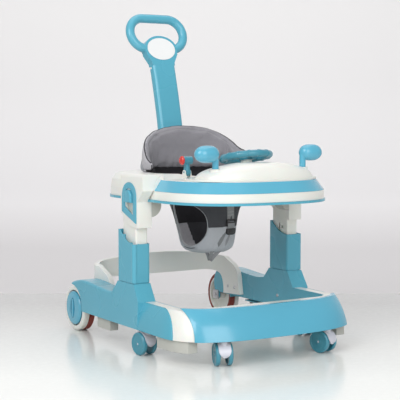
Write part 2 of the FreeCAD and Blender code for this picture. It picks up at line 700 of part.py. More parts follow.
# ---------------------------------------------------------------- seat ring
def ring_wire(inset, z):
    half = RING_HALF - inset
    front = power_curve(half, RING_FRONT_DEPTH - inset, RING_FRONT_POWER, RING_FRONT_START, z, -180, 0)
    back = power_curve(half, RING_BACK_DEPTH - inset, RING_BACK_POWER, RING_BACK_START, z, 0, 180)
    a, b = front.valueAt(front.LastParameter), back.valueAt(back.FirstParameter)
    c, d = back.valueAt(back.LastParameter), front.valueAt(front.FirstParameter)
    return Part.Wire([front, Part.makeLine(a, b), back, Part.makeLine(c, d)])


def ring_slab(inset, z):
    return upright(Part.Face(ring_wire(inset, 0)), z)


def ring_taper(low, high):
    """Between two outlines, each given as (inset, z)."""
    return Part.makeLoft([ring_wire(*low), ring_wire(*high)], True, True)


def rear_edge(inset):
    """The rounded upper part of the ring behind the tray, as stacked tapers, less an inset."""
    steps = [(BAND_INSET, BAND_BOTTOM)] + [(BAND_INSET + back, z) for back, z in REAR_EDGE]
    steps = [(back + inset, z - inset) for back, z in steps]
    return [ring_taper(a, b) for a, b in zip(steps, steps[1:])]


def seat_hole(grow, z):
    face = Part.Face(oval_wire(SEAT_HALF + grow, SEAT_DEPTH + grow, SEAT_POWER, SEAT_MID, 0))
    return upright(face, z)


def seat_ring():
    wall = SKIN
    lower = ring_slab(BAND_INSET, (TRIM_TOP, BAND_BOTTOM))
    in_front = (-FAR, BAND_END)
    behind = (BAND_END, FAR)
    top_inset = BAND_TOP_INSET + wall
    front = ring_taper((BAND_INSET + wall, BAND_BOTTOM), (top_inset, DECK_TOP))
    rear = [cut_to(piece, y=behind) for piece in rear_edge(0)]
    slope = outline(yz, (BAND_END, DECK_TOP), [
        (BAND_END + RAMP, REAR_TOP), (BAND_END + RAMP, FAR), (BAND_END, FAR)])
    slope = across(slope, (1 - SHOULDER_LAP, SHOULDER_LAP - 1))
    body = lower.fuse([cut_to(front, y=in_front)] + [piece.cut(slope) for piece in rear])
    core = ring_slab(BAND_INSET + wall, (0, BAND_BOTTOM - wall))
    tip = ring_taper((BAND_INSET + 3 * wall, BAND_BOTTOM - 2 * wall),
                     (top_inset + 2 * wall, DECK_TOP - wall))
    back = ring_slab(BAND_INSET + REAR_EDGE[-1][0] + wall, (BAND_BOTTOM - 2 * wall, REAR_TOP - wall))
    foot = (BAND_END, BAND_END + RAMP + 1)
    core = core.fuse([cut_to(tip, y=(-FAR, BAND_END - wall)), cut_to(back, y=(BAND_END + RAMP, FAR)),
                      cut_to(back, y=foot, z=(0, DECK_TOP - wall))])
    core = core.cut(seat_hole(wall, (0, FAR)))
    body = body.cut(core).cut(seat_hole(0, (0, FAR)))
    return body.cut(post_prism(SLIDE + SOCKET_WALL + SEAT, FAR)).removeSplitter()


def ring_trim():
    body = ring_slab(0, (TRIM_BOTTOM, TRIM_TOP - SEAT / 2))
    return body.cut(ring_slab(TRIM_WIDTH, (0, FAR)))


def tray_band():
    z = (BAND_BOTTOM + SEAT, DECK_TOP - 1.0)
    outer = ring_taper((BAND_INSET, z[0]), (BAND_TOP_INSET, z[1]))
    inner = ring_taper((BAND_INSET + SKIN - SEAT, BAND_BOTTOM), (BAND_TOP_INSET + SKIN - SEAT, DECK_TOP))
    return cut_to(outer.cut(inner), y=(-FAR, BAND_END))


# ---------------------------------------------------------------- push handle
def post_prism(grow, below):
    """The straight lower stretch of the post, grown all round and by a length below its foot."""
    (y0, z0), (y1, z1) = POST_FOOT, POST_STRAIGHT
    length = math.hypot(y1 - y0, z1 - z0)
    ay, az = (y1 - y0) / length, (z1 - z0) / length
    half = POST_DEPTH / 2 + grow
    y0, z0 = y0 - ay * below, z0 - az * below
    face = outline(yz, (y0 - az * half, z0 + ay * half), [
        (y0 + az * half, z0 - ay * half),
        (y1 + az * half, z1 - ay * half), (y1 - az * half, z1 + ay * half)])
    wide = POST_WIDTH / 2 + grow
    return across(face, (-wide, wide))


def handle_socket():
    """Cup that takes the post's foot, hung from a flange on the deck."""
    top = REAR_TOP + SOCKET_WALL
    cup = cut_to(post_prism(SLIDE + SOCKET_WALL, SEAT + SOCKET_WALL), z=(0, top))
    flange = cut_to(post_prism(FLANGE_WIDTH, 0), z=(REAR_TOP + SEAT, top))
    return cup.fuse(flange).cut(post_prism(SLIDE, SEAT)).removeSplitter()


def post_body(wall):
    """The post from foot to neck, straight and then bending back, less a wall for its inside."""
    (y0, z0), (y1, z1), (y2, z2) = POST_FOOT, POST_STRAIGHT, POST_NECK
    low = math.atan2(y1 - y0, z1 - z0)
    high = math.radians(LOOP_LEAN)
    half = POST_DEPTH / 2 - wall
    y0, z0 = y0 - wall * math.sin(low), z0 - wall * math.cos(low)
    y2, z2 = y2 - wall * math.sin(high), z2 - wall * math.cos(high)

    def beside(y, z, lean, sign):
        return (y + sign * half * math.cos(lean), z - sign * half * math.sin(lean))

    mid = ((y1 + y2) / 2 - POST_SAG, (z1 + z2) / 2)
    middle_lean = (low + high) / 2
    face = outline(yz, beside(y0, z0, low, -1), [
        beside(y1, z1, low, -1),
        [beside(*mid, middle_lean, -1), beside(y2, z2, high, -1)],
        beside(y2, z2, high, 1),
        [beside(*mid, middle_lean, 1), beside(y1, z1, low, 1)],
        beside(y0, z0, low, 1)])
    wide = POST_WIDTH / 2 - wall
    body = across(face, (-wide, wide))
    long_edges = [e for e in body.Edges if abs(abs(e.CenterOfMass.x) - wide) < TINY
                  and e.BoundBox.ZLength > POST_WIDTH]
    return body.makeFillet(POST_ROUND - wall, long_edges)


def handle_post():
    return post_body(0).cut(post_body(SKIN)).cut(snap_buttons(SEAT))


def to_handle(shape):
    """Carries a shape drawn about the neck, upright, into the leaning head of the handle."""
    shape = shape.rotated(ORIGIN, X, -LOOP_LEAN)
    return shape.translated(V(0, POST_NECK[0], POST_NECK[1]))


def ellipse_prism(half, high, up, y):
    face = Part.Face(Part.Wire(Part.Ellipse(ORIGIN, half, high).toShape()))
    face = face.rotated(ORIGIN, X, 90).translated(V(0, y[0], up))
    return face.extrude(V(0, y[1] - y[0], 0))


def handle_loop():
    half = DISC_DEPTH / 2
    disc = ellipse_prism(DISC_HALF, DISC_HIGH, DISC_UP, (-half, half))
    wide = POST_WIDTH / 2
    neck = along(outline(xz, (-wide, SEAT), [
        (wide, SEAT), (wide, 8.0), (DISC_HALF - 1.0, DISC_UP - 14.0),
        (1.0 - DISC_HALF, DISC_UP - 14.0), (-wide, 8.0)]), (-half, half))
    recess = ellipse_prism(BADGE_HALF + SEAT, BADGE_HIGH + SEAT, DISC_UP, (-DISC_DEPTH, BADGE_SEAT - half))
    body = disc.fuse(neck).cut(recess)
    bar = rod(V(-LOOP_X, 0, LOOP_UP + LOOP_RADIUS), X, LOOP_TUBE, 2 * LOOP_X)
    pieces = [bar]
    end = math.radians(LOOP_END_ANGLE)
    for sign in (1, -1):
        middle = V(sign * LOOP_X, 0, LOOP_UP)
        ring = Part.Face(Part.Wire(Part.Circle(middle + Z * LOOP_RADIUS, X, LOOP_TUBE).toShape()))
        pieces.append(ring.revolve(middle, Y, sign * (90 - LOOP_END_ANGLE)))
        foot = middle + V(sign * math.cos(end), 0, math.sin(end)) * LOOP_RADIUS
        heading = V(sign * math.sin(end), 0, -math.cos(end))
        pieces.append(rod(foot, heading, LOOP_TUBE, LOOP_TAIL))
    loop = pieces[0].fuse(pieces[1:])
    body = body.fuse(loop).cut(recess)
    return to_handle(body).removeSplitter()


def handle_badge():
    half = DISC_DEPTH / 2
    return to_handle(ellipse_prism(
        BADGE_HALF, BADGE_HIGH, DISC_UP, (-half - BADGE_PROUD, BADGE_SEAT - SEAT - half)))


def snap_buttons(grow):
    start = V(POST_WIDTH / 2 - SKIN - 1.0, 0, -SNAP_DROP)
    button = rod(start, X, SNAP + grow, SNAP_LENGTH)
    return to_handle(Part.makeCompound([button, other_side(button)]))


def handle_snaps():
    """Spring buttons through the post's walls, just under the grip."""
    return snap_buttons(0)


# ---------------------------------------------------------------- toy tray
def dome_body(shrink, drop):
    base = DECK_TOP + SEAT + TRAY_LIP
    wires = [oval_wire(a - shrink, b - shrink, TRAY_POWER, middle, base + up - drop)
             for up, a, b, middle in DOME]
    return Part.makeLoft(wires, True)


def steer_axis():
    tilt = math.radians(STEER_TILT)
    return V(0, math.sin(tilt), math.cos(tilt))


def toy_tray():
    base = DECK_TOP + SEAT
    plate = Part.Face(oval_wire(TRAY_HALF, TRAY_DEPTH, TRAY_POWER, TRAY_MID, 0))
    body = upright(plate, (base, base + TRAY_LIP)).fuse(dome_body(0, 0))
    under = Part.Face(oval_wire(TRAY_HALF - SKIN, TRAY_DEPTH - SKIN, TRAY_POWER, TRAY_MID, 0))
    hollow = upright(under, (base - 1, base + TRAY_LIP - 2.5)).fuse(dome_body(SKIN, SKIN))
    body = body.cut(hollow)
    adds = []
    for sign in (1, -1):
        adds.append(rod(V(sign * MIRROR_X, MIRROR_Y, base + TRAY_LIP - 2.0), Z, 14.0,
                        MIRROR_BASE_Z - base - TRAY_LIP + 2.0))
    centre = V(0, STEER_CENTRE[0], STEER_CENTRE[1])
    axis = steer_axis()
    foot = centre - axis * 40.0
    adds.append(rod(foot, axis, 15.0, 40.0 - STEER_RIM - SLIDE))
    for x in (LEVER_X - 9.5, LEVER_X + 6.5):
        face = outline(yz, (LEVER_Y - 11.0, base + 2.0), [
            (LEVER_Y - 6.0, LEVER_PIVOT_Z + 2.0),
            ((LEVER_Y, LEVER_PIVOT_Z + 6.0), (LEVER_Y + 6.0, LEVER_PIVOT_Z + 2.0)),
            (LEVER_Y + 11.0, base + 2.0)])
        adds.append(across(face, (x, x + 3.0)))
    body = body.fuse(adds)
    for sign in (1, -1):
        foot = V(sign * MIRROR_X, MIRROR_Y, MIRROR_BASE_Z)
        body = body.cut(rod(foot - Z * (MIRROR_PIN_DEPTH + 1.0), Z, MIRROR_PIN + RUN, MIRROR_PIN_DEPTH + 7.0))
        body = body.cut(rod(foot, Z, MIRROR_STALK + MIRROR_ROOM, MIRROR_Z - MIRROR_BASE_Z))
    body = body.cut(rod(centre - axis * (STEER_SHAFT_DEPTH + 2.0), axis, STEER_SHAFT + RUN, FAR))
    body = body.cut(rod(V(LEVER_X - 20.0, LEVER_Y, LEVER_PIVOT_Z), X, LEVER_PIN + RUN, 40.0))
    slot_half = LEVER_FOOT_HALF + SLIDE
    slot = rod(V(LEVER_X - slot_half, LEVER_Y, LEVER_PIVOT_Z), X, LEVER_FOOT + 2 * SLIDE, 2 * slot_half)
    return body.cut(slot).removeSplitter()


def steering_wheel():
    centre = V(0, STEER_CENTRE[0], STEER_CENTRE[1])
    axis = steer_axis()
    body = Part.makeTorus(STEER_RADIUS, STEER_RIM, centre, axis)
    hub = rod(centre - axis * STEER_RIM, axis, STEER_HUB, 2 * STEER_RIM - 2.0)
    spokes = []
    for angle in (-90.0, 30.0, 150.0):
        spoke = block((0, STEER_RADIUS), (-8.0, 8.0), (-4.0, 3.0)).rotated(ORIGIN, Z, angle)
        spoke = spoke.rotated(ORIGIN, X, -STEER_TILT).translated(centre)
        spokes.append(spoke)
    ribs = []
    for i in range(STEER_RIBS):
        middle = V(STEER_RADIUS, 0, 0)
        rib = Part.makeCylinder(STEER_RIM + 1.0, 6.0, middle - Y * 3.0, Y)
        rib = rib.rotated(ORIGIN, Z, 360.0 * (i + 0.5) / STEER_RIBS)
        ribs.append(rib.rotated(ORIGIN, X, -STEER_TILT).translated(centre))
    body = body.fuse([hub] + spokes + ribs)
    well_bore = rod(centre - axis * (STEER_RIM - 4.0), axis, BUTTON_RADIUS + SLIDE, 40.0)
    shaft = rod(centre - axis * STEER_SHAFT_DEPTH, axis, STEER_SHAFT, STEER_SHAFT_DEPTH - STEER_RIM + 4.0)
    return body.cut(well_bore).fuse(shaft).removeSplitter()


def horn_button():
    centre = V(0, STEER_CENTRE[0], STEER_CENTRE[1])
    axis = steer_axis()
    low = BUTTON_TRAVEL + SLIDE + 4.0 - STEER_RIM
    top = STEER_RIM + 2.0
    return turned(centre, axis, [
        (0, low), (BUTTON_RADIUS, low), (BUTTON_RADIUS, top - 3.0), (BUTTON_RADIUS - 3.0, top - 0.8),
        (BUTTON_RADIUS - 7.0, top), (0, top)])


def mirror():
    """Stalk and egg-shaped bulb, bent outwards, on a pin that turns in the tray."""
    foot = V(MIRROR_X, MIRROR_Y, MIRROR_BASE_Z)
    pin = rod(foot - Z * MIRROR_PIN_DEPTH, Z, MIRROR_PIN, MIRROR_PIN_DEPTH + 1.0)
    stalk = rod(foot + Z * SEAT, Z, MIRROR_STALK, MIRROR_Z - MIRROR_BASE_Z - SEAT)
    knee = Part.makeSphere(MIRROR_STALK, V(MIRROR_X, MIRROR_Y, MIRROR_Z))
    z0, r = MIRROR_Z, MIRROR_EGG
    inner = MIRROR_X - MIRROR_STALK + MIRROR_INSET
    face = outline(xz, (inner, z0), [
        (inner, z0 + 0.2 * r),
        [(inner + 0.12 * r, z0 + 0.5 * r), (inner + 0.42 * r, z0 + 0.8 * r),
         (inner + 0.9 * r, z0 + 0.96 * r), (inner + 1.6 * r, z0 + r), (MIRROR_TIP - 0.85 * r, z0 + 0.93 * r),
         (MIRROR_TIP - 0.3 * r, z0 + 0.63 * r), (MIRROR_TIP - 0.05 * r, z0 + 0.27 * r), (MIRROR_TIP, z0)]])
    egg = face.revolve(V(0, 0, z0), X, 360).translated(V(0, MIRROR_Y, 0))
    return stalk.fuse([pin, knee, egg]).removeSplitter()


def gear_lever():
    half, pin_half = LEVER_FOOT_HALF, LEVER_FOOT_HALF + 3.0
    foot = rod(V(LEVER_X - half, LEVER_Y, LEVER_PIVOT_Z), X, LEVER_FOOT, 2 * half)
    pins = rod(V(LEVER_X - pin_half, LEVER_Y, LEVER_PIVOT_Z), X, LEVER_PIN, 2 * pin_half)
    start = V(LEVER_X, LEVER_Y, LEVER_PIVOT_Z + LEVER_FOOT / 2)
    stalk = Part.makeCone(LEVER_FOOT - 1.0, LEVER_NECK, LEVER_HEAD_Z - start.z, start, Z)
    stalk = cut_to(stalk, x=(LEVER_X - half, LEVER_X + half))
    head = rod(V(LEVER_X - LEVER_HEAD_HALF, LEVER_Y, LEVER_HEAD_Z), X, LEVER_HEAD_RADIUS, 2 * LEVER_HEAD_HALF)
    return foot.fuse([pins, stalk, head]).removeSplitter()


def gear_knob():
    return turned(V(LEVER_X - LEVER_HEAD_HALF - SEAT, LEVER_Y, LEVER_HEAD_Z), -X, [
        (0, 0), (LEVER_DISC, 0), (LEVER_DISC, 3.0), (LEVER_DISC - 3.0, 6.0), (0, 7.0)])


# ---------------------------------------------------------------- fabric
def sling_body(shrink, drop):
    wires = [oval_wire(a - shrink, b - shrink, SEAT_POWER, middle, z + drop) for z, a, b, middle in SLING]
    return Part.makeLoft(wires, True, True)


def seat_sling():
    body = sling_body(0, 0).cut(sling_body(CLOTH, CLOTH))
    body = body.cut(cut_to(sling_body(CLOTH, 0), z=(400.0, FAR)))
    leg = Part.Face(Part.Wire(Part.Ellipse(ORIGIN, LEG_HALF_Z, LEG_HALF_Y).toShape()))
    leg = leg.rotated(ORIGIN, Y, 90).translated(V(CROTCH_HALF, LEG_Y, LEG_Z)).extrude(V(FAR, 0, 0))
    return body.cut(leg).cut(other_side(leg)).removeSplitter()


def back_plan(grow):
    half, deep = BACK_HALF + grow, BACK_DEEP + grow
    return Part.Face(oval_wire(half, deep, BACK_POWER, BACK_MID, 0))


def seat_back():
    """Padded backrest that stands in the seat opening and wraps forward on both sides."""
    rim = SLING[0][0]
    shell = upright(back_plan(0), (BACK_BOTTOM, FAR)).cut(upright(back_plan(-BACK_THICK), (0, FAR)))
    shell = cut_to(shell, y=(BACK_FRONT, FAR))
    room = seat_hole(-SOFT, (rim, REAR_TOP + SOFT)).fuse(sling_body(CLOTH + SOFT, 0))
    shell = shell.cut(block((-FAR, FAR), (-FAR, FAR), (0, REAR_TOP + SOFT)).cut(room))
    wide, mirrored = BACK_SIDE[0][0], [(-x, z) for x, z in reversed(BACK_SIDE)]
    front = outline(xz, (-wide, 0), [(wide, 0), BACK_SIDE + [(0.0, BACK_TOP)] + mirrored, (-wide, 0)])
    return shell.common(along(front, (-FAR, FAR)))


def crotch_strap():
    """Webbing down the front of the seat, lying on its fabric."""
    band = sling_body(-SOFT - STRAP_THICK, 0).cut(sling_body(-SOFT, 0))
    return cut_to(band, x=STRAP_X, y=(-FAR, 0), z=STRAP_Z)


def buckle():
    """Side-release buckle lying on the strap."""
    low = SOFT + STRAP_THICK + SEAT
    band = sling_body(-low - BUCKLE_THICK, 0).cut(sling_body(-low, 0))
    return cut_to(band, x=(STRAP_X[0] - 2.0, STRAP_X[1] + 2.0), y=(-FAR, 0), z=BUCKLE_Z)


# ---------------------------------------------------------------- wheels
def rear_wheel():
    base = V(0, WHEEL_Y, WHEEL_RADIUS)
    bore = AXLE_RADIUS + RUN
    seat = WHEEL_RADIUS - RING_DEPTH
    cap = CAP_RADIUS + CAP_GAP
    return turned(base, X, [
        (bore, WHEEL_IN), (HUB_RADIUS, WHEEL_IN), (HUB_RADIUS, WHEEL_STEP), (seat - 6.0, WHEEL_STEP),
        (seat - 6.0, WHEEL_IN), (seat, WHEEL_IN), (seat, WHEEL_STEP), (WHEEL_RADIUS - 1.5, WHEEL_STEP),
        (WHEEL_RADIUS, WHEEL_STEP + 1.5), (WHEEL_RADIUS, WHEEL_OUT - 5.0),
        (WHEEL_RADIUS - 1.5, WHEEL_OUT - 2.0), (WHEEL_RADIUS - 5.0, WHEEL_OUT), (cap, WHEEL_OUT),
        (cap, WHEEL_STEP + WHEEL_WEB), (bore, WHEEL_STEP + WHEEL_WEB)])


def rear_ring():
    base = V(0, WHEEL_Y, WHEEL_RADIUS)
    seat = WHEEL_RADIUS - RING_DEPTH + SEAT
    return turned(base, X, [
        (seat, WHEEL_IN), (WHEEL_RADIUS - 1.0, WHEEL_IN), (WHEEL_RADIUS, WHEEL_IN + 1.0),
        (WHEEL_RADIUS, WHEEL_STEP - 1.2), (WHEEL_RADIUS - 1.0, WHEEL_STEP - SEAT / 2),
        (seat, WHEEL_STEP - SEAT / 2)])


def hub_cap():
    base = V(0, WHEEL_Y, WHEEL_RADIUS)
    low, face = WHEEL_STEP + WHEEL_WEB, WHEEL_OUT + CAP_PROUD
    body = turned(base, X, [
        (0, low + 6.0), (AXLE_RADIUS + 4.0, low + 6.0), (AXLE_RADIUS + 4.0, low), (CAP_RADIUS - 8.0, low),
        (CAP_RADIUS - 2.0, low + 4.0), (CAP_RADIUS, face - 3.0), (CAP_RADIUS - 2.5, face),
        (CAP_RADIUS - 12.0, face + 1.6), (0, face + CAP_BULGE)])
    bowl = Part.Face(Part.Wire(Part.Ellipse(ORIGIN, 29.0, 14.0).toShape())).rotated(ORIGIN, Y, 90)
    bowl = bowl.translated(base + X * (face - 6.0)).extrude(X * 20.0)
    grip = rounded_block((face - 7.0, face + CAP_BULGE + 0.5), (WHEEL_Y - 4.0, WHEEL_Y + 4.0),
                         (WHEEL_RADIUS - 27.0, WHEEL_RADIUS + 27.0), 1.5)
    return body.cut(bowl).fuse(grip).removeSplitter()


def rear_axle():
    """Stub axle through the cheek, with a square nut plate on the inside."""
    length = WHEEL_STEP + WHEEL_WEB + 4.0 - WELL_HALF + 8.0
    pin = rod(V(WELL_HALF - 8.0, WHEEL_Y, WHEEL_RADIUS), X, AXLE_RADIUS, length)
    plate = block((WELL_HALF - 4.0, WELL_HALF - SEAT / 2), (WHEEL_Y - 14.0, WHEEL_Y + 14.0),
                  (WHEEL_RADIUS - 14.0, WHEEL_RADIUS + 14.0))
    return plate.fuse(pin).removeSplitter()


def to_caster(shape, name):
    """Turns a shape drawn about its stem, trailing along +X, to its place and heading."""
    x, y = FRONT_STEM if name.startswith("front") else MID_STEM
    if name.endswith("right"):
        x = -x
    return shape.rotated(ORIGIN, Z, HEADINGS[name]).translated(V(x, y, 0))


def caster_fork(name):
    axle = V(CASTER_TRAIL, 0, CASTER_RADIUS)
    reach = CASTER_RADIUS + GUARD_GAP
    shield = rod(axle - Y * (FORK_WIDTH / 2), Y, reach, FORK_WIDTH)
    keep = outline(xz, (CASTER_TRAIL + 9.0, CASTER_RADIUS - 8.0), [
        (CASTER_TRAIL + 9.0, CASTER_RADIUS + 12.0), (CASTER_TRAIL + 16.0, FORK_TOP),
        (-FAR, FORK_TOP), (-FAR, 18.0), (-10.0, 18.0)])
    half = GUARD_WIDTH / 2
    tongue = outline(yz, (-half, FORK_TOP + 1.0), [
        (-half, TONGUE_TOP),
        [(-0.85 * half, TONGUE_TOP - 9.0), (-0.5 * half, TONGUE_LOW + 3.5), (0, TONGUE_LOW),
         (0.5 * half, TONGUE_LOW + 3.5), (0.85 * half, TONGUE_TOP - 9.0), (half, TONGUE_TOP)],
        (half, FORK_TOP + 1.0)])
    tongue = across(tongue, (-FAR, FAR))
    shield = shield.common(along(keep, (-FAR, FAR))).common(tongue)
    guard = rod(axle - Y * (GUARD_WIDTH / 2), Y, reach + GUARD_WALL, GUARD_WIDTH)
    guard = guard.cut(rod(axle - Y * GUARD_WIDTH, Y, reach, 2 * GUARD_WIDTH))
    wedge = outline(xz, (CASTER_TRAIL, CASTER_RADIUS), [
        (CASTER_TRAIL + 24.0, FORK_TOP + 20.0), (-FAR, FORK_TOP + 20.0), (-FAR, TONGUE_LOW - 12.0)])
    guard = cut_to(guard.common(along(wedge, (-FAR, FAR))), z=(0, FORK_TOP)).common(tongue)
    collar = rod(V(0, 0, CASTER_RADIUS + 12.0), Z, 9.5, FORK_TOP - CASTER_RADIUS - 12.0)
    stem = rod(V(0, 0, FORK_TOP - 1.0), Z, STEM_RADIUS, STEM_TOP - FORK_TOP + 1.0)
    body = shield.fuse([guard, collar, stem]).removeSplitter()
    hole = rod(axle - Y * CASTER_WIDTH, Y, PIN_RADIUS, 2 * CASTER_WIDTH)
    pin = rod(axle - Y * (CASTER_WIDTH / 2 - 0.5), Y, PIN_RADIUS, CASTER_WIDTH - 1.0)
    return to_caster(Part.makeCompound([body.cut(hole), pin]), name)


def caster_wheels(name):
    bore = PIN_RADIUS + RUN
    rim = CASTER_RADIUS
    face = CASTER_WIDTH / 2
    inner = face - TYRE_WIDTH
    axle = V(CASTER_TRAIL, 0, CASTER_RADIUS)
    profile = [
        (bore, inner), (8.0, inner), (8.0, inner + 3.0), (rim - 5.0, inner + 3.0), (rim - 5.0, inner),
        (rim - 1.0, inner), (rim, inner + 1.0), (rim, face - 2.5), (rim - 2.5, face), (rim - 5.5, face),
        (rim - 6.5, face - 1.6), (8.0, face - 1.6), (6.0, face - 0.2), (bore, face - 0.2)]
    wheels = [turned(axle, Y, profile), turned(axle, -Y, profile)]
    return to_caster(Part.makeCompound(wheels), name)


# ---------------------------------------------------------------- output
def pair(name, shape):
    """Writes the left piece and its mirror image on the right."""
    export(name + "_left", shape)
    export(name + "_right", other_side(shape))


def main():
    os.makedirs("parts", exist_ok=True)
    for name, build in (("arm", arm), ("column_sleeve", column_sleeve), ("column_tube", column_tube),
                        ("shoulder", shoulder), ("latch_plate", latch_plate), ("latch_knob", latch_knob),
                        ("ring_bracket", ring_bracket), ("mirror", mirror), ("rear_wheel", rear_wheel),
                        ("rear_ring", rear_ring), ("hub_cap", hub_cap), ("rear_axle", rear_axle)):
        pair(name, build())
    for build in (front_frame, front_cover, stop_pads, arch_bar, base_screws, seat_ring, ring_trim,
                  tray_band, handle_socket, handle_post, handle_loop, handle_badge, handle_snaps,
                  toy_tray, steering_wheel, horn_button, gear_lever, gear_knob, seat_sling, seat_back,
                  crotch_strap, buckle):
        export(build.__name__, build())
    for name in HEADINGS:
        export("caster_fork_" + name, caster_fork(name))
        export("caster_wheels_" + name, caster_wheels(name))


main()
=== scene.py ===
import json
import math

import bmesh
import bpy
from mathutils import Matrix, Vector, noise
from mathutils.kdtree import KDTree


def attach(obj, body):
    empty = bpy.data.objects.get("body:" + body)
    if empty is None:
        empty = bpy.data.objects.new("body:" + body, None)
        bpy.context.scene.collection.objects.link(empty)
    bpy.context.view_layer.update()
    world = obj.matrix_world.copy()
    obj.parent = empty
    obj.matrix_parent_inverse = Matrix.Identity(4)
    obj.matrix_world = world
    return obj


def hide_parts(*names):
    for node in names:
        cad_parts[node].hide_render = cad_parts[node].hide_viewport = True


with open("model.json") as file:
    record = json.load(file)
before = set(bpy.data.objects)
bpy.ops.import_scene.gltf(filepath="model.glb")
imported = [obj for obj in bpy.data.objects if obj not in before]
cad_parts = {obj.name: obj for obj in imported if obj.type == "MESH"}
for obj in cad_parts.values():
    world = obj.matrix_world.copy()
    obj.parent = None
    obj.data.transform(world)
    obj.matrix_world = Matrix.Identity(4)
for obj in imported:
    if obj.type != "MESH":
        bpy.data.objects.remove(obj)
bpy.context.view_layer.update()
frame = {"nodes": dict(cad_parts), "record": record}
scene = bpy.context.scene
MM = 0.001


# ---------------------------------------------------------------- materials
class Tree:
    """A material's node tree, with short ways to add nodes and wire them."""

    def __init__(self, name):
        self.material = bpy.data.materials.new(name)
        self.material.use_nodes = True
        self.nodes = self.material.node_tree.nodes
        self.links = self.material.node_tree.links
        self.nodes.clear()
        output = self.nodes.new("ShaderNodeOutputMaterial")
        self.shader = self.nodes.new("ShaderNodeBsdfPrincipled")
        self.links.new(self.shader.outputs[0], output.inputs["Surface"])
        self.place = self.nodes.new("ShaderNodeTexCoord").outputs["Object"]

    def add(self, kind, **settings):
        node = self.nodes.new("ShaderNode" + kind)
        for key, value in settings.items():
            setattr(node, key, value)
        return node

    def put(self, node, name, value):
        """Wires a socket's value in, or sets a plain one."""
        socket = node.inputs[name]
        if isinstance(value, bpy.types.NodeSocket):
            self.links.new(value, socket)
        else:
            socket.default_value = value

    def surface(self, sockets):
        """Fills the shader's sockets from a table and returns the finished material."""
        for name, value in sockets.items():
            self.put(self.shader, name, value)
        return self.material

    def noise(self, scale, detail=2.0, rough=0.5):
        node = self.add("TexNoise")
        self.put(node, "Vector", self.place)
        self.put(node, "Scale", scale)
        self.put(node, "Detail", detail)
        self.put(node, "Roughness", rough)
        return node.outputs["Fac"]

    def bands(self, direction, scale, distortion, place, detail=2.0):
        node = self.add("TexWave", wave_type="BANDS", bands_direction=direction,
                        wave_profile="SIN")
        self.put(node, "Vector", place)
        self.put(node, "Scale", scale)
        self.put(node, "Distortion", distortion)
        self.put(node, "Detail", detail)
        return node.outputs["Fac"]

    def remap(self, value, low, high, start=0.0, end=1.0):
        """The range start..end of a value, spread over low..high."""
        node = self.add("MapRange")
        self.put(node, "Value", value)
        self.put(node, "From Min", start)
        self.put(node, "From Max", end)
        self.put(node, "To Min", low)
        self.put(node, "To Max", high)
        return node.outputs["Result"]

    def product(self, a, b):
        node = self.add("Math", operation="MULTIPLY")
        self.put(node, 0, a)
        self.put(node, 1, b)
        return node.outputs[0]

    def mix(self, factor, a, b):
        node = self.add("Mix", data_type="RGBA")
        for socket, value in ((0, factor), (6, a), (7, b)):
            self.put(node, socket, value)
        return node.outputs[2]

    def bump(self, height, strength, distance, normal=None):
        node = self.add("Bump")
        self.put(node, "Height", height)
        self.put(node, "Strength", strength)
        self.put(node, "Distance", distance)
        if normal is not None:
            self.put(node, "Normal", normal)
        return node.outputs["Normal"]

    def along(self, direction, start, end):
        """0 to 1 between two distances along a direction, in the object's own coordinates."""
        node = self.add("VectorMath", operation="DOT_PRODUCT")
        self.put(node, 0, self.place)
        self.put(node, 1, direction)
        return self.remap(node.outputs["Value"], 0.0, 1.0, start, end)

    def rounded(self, radius):
        """The surface's normal with its edges rounded off."""
        node = self.add("Bevel")
        node.samples = 8
        self.put(node, "Radius", radius)
        return node.outputs["Normal"]


def rgb(colour, factor=1.0):
    return tuple(min(1.0, c * factor) for c in colour) + (1.0,)


def plastic(name, colour, rough=0.25, edge=0.0012, coat=0.3, grain=0.0, subsurface=0.0):
    """Injection-moulded plastic: uneven gloss, a faint ripple and rounded moulding edges."""
    tree = Tree(name)
    cloud = tree.noise(6.0, 3.0)
    fine = tree.noise(420.0)
    wear = tree.noise(8.0, 1.0, 0.4)
    shade = tree.mix(tree.remap(cloud, 0.0, 1.0, 0.3, 0.7), rgb(colour, 0.98), rgb(colour, 1.02))
    ripple = tree.bump(cloud, 0.01, 0.002, tree.rounded(edge))
    return tree.surface({
        "Base Color": shade,
        "Roughness": tree.remap(wear, rough - 0.02, rough + 0.03),
        "Coat Weight": coat,
        "Coat Roughness": 0.12,
        "Subsurface Weight": subsurface,
        "Subsurface Scale": 0.004,
        "Normal": tree.bump(fine, 0.004 + grain, 0.0003, ripple)})


def fabric(name, colour, dark=0.72, scale=520.0, rough=0.85, sheen=0.25):
    """Woven polyester: three sets of crossing yarns, uneven dye and small creases."""
    tree = Tree(name)
    turned = tree.add("Mapping")
    tree.put(turned, "Vector", tree.place)
    tree.put(turned, "Rotation", (0.62, 0.35, 0.79))
    x, y, z = (tree.bands(way, scale, 0.6, turned.outputs[0], 1.0) for way in "XYZ")
    height = tree.product(tree.product(x, y), z)
    cloud = tree.noise(9.0, 4.0, 0.6)
    crease = tree.noise(45.0, 3.0, 0.55)
    threads = tree.remap(height, 0.0, 1.0, 0.0, 0.35)
    yarn = tree.mix(threads, rgb(colour, dark), rgb(colour, 1.12))
    fold = tree.bump(crease, 0.25, 0.003)
    return tree.surface({
        "Base Color": tree.mix(tree.remap(cloud, 0.0, 0.4, 0.35, 0.7), yarn, rgb(colour, 0.86)),
        "Roughness": tree.remap(crease, rough - 0.08, rough + 0.06, 0.3, 0.7),
        "Sheen Weight": sheen,
        "Sheen Roughness": 0.45,
        "Specular IOR Level": 0.25,
        "Normal": tree.bump(height, 0.35, 0.0006, fold)})


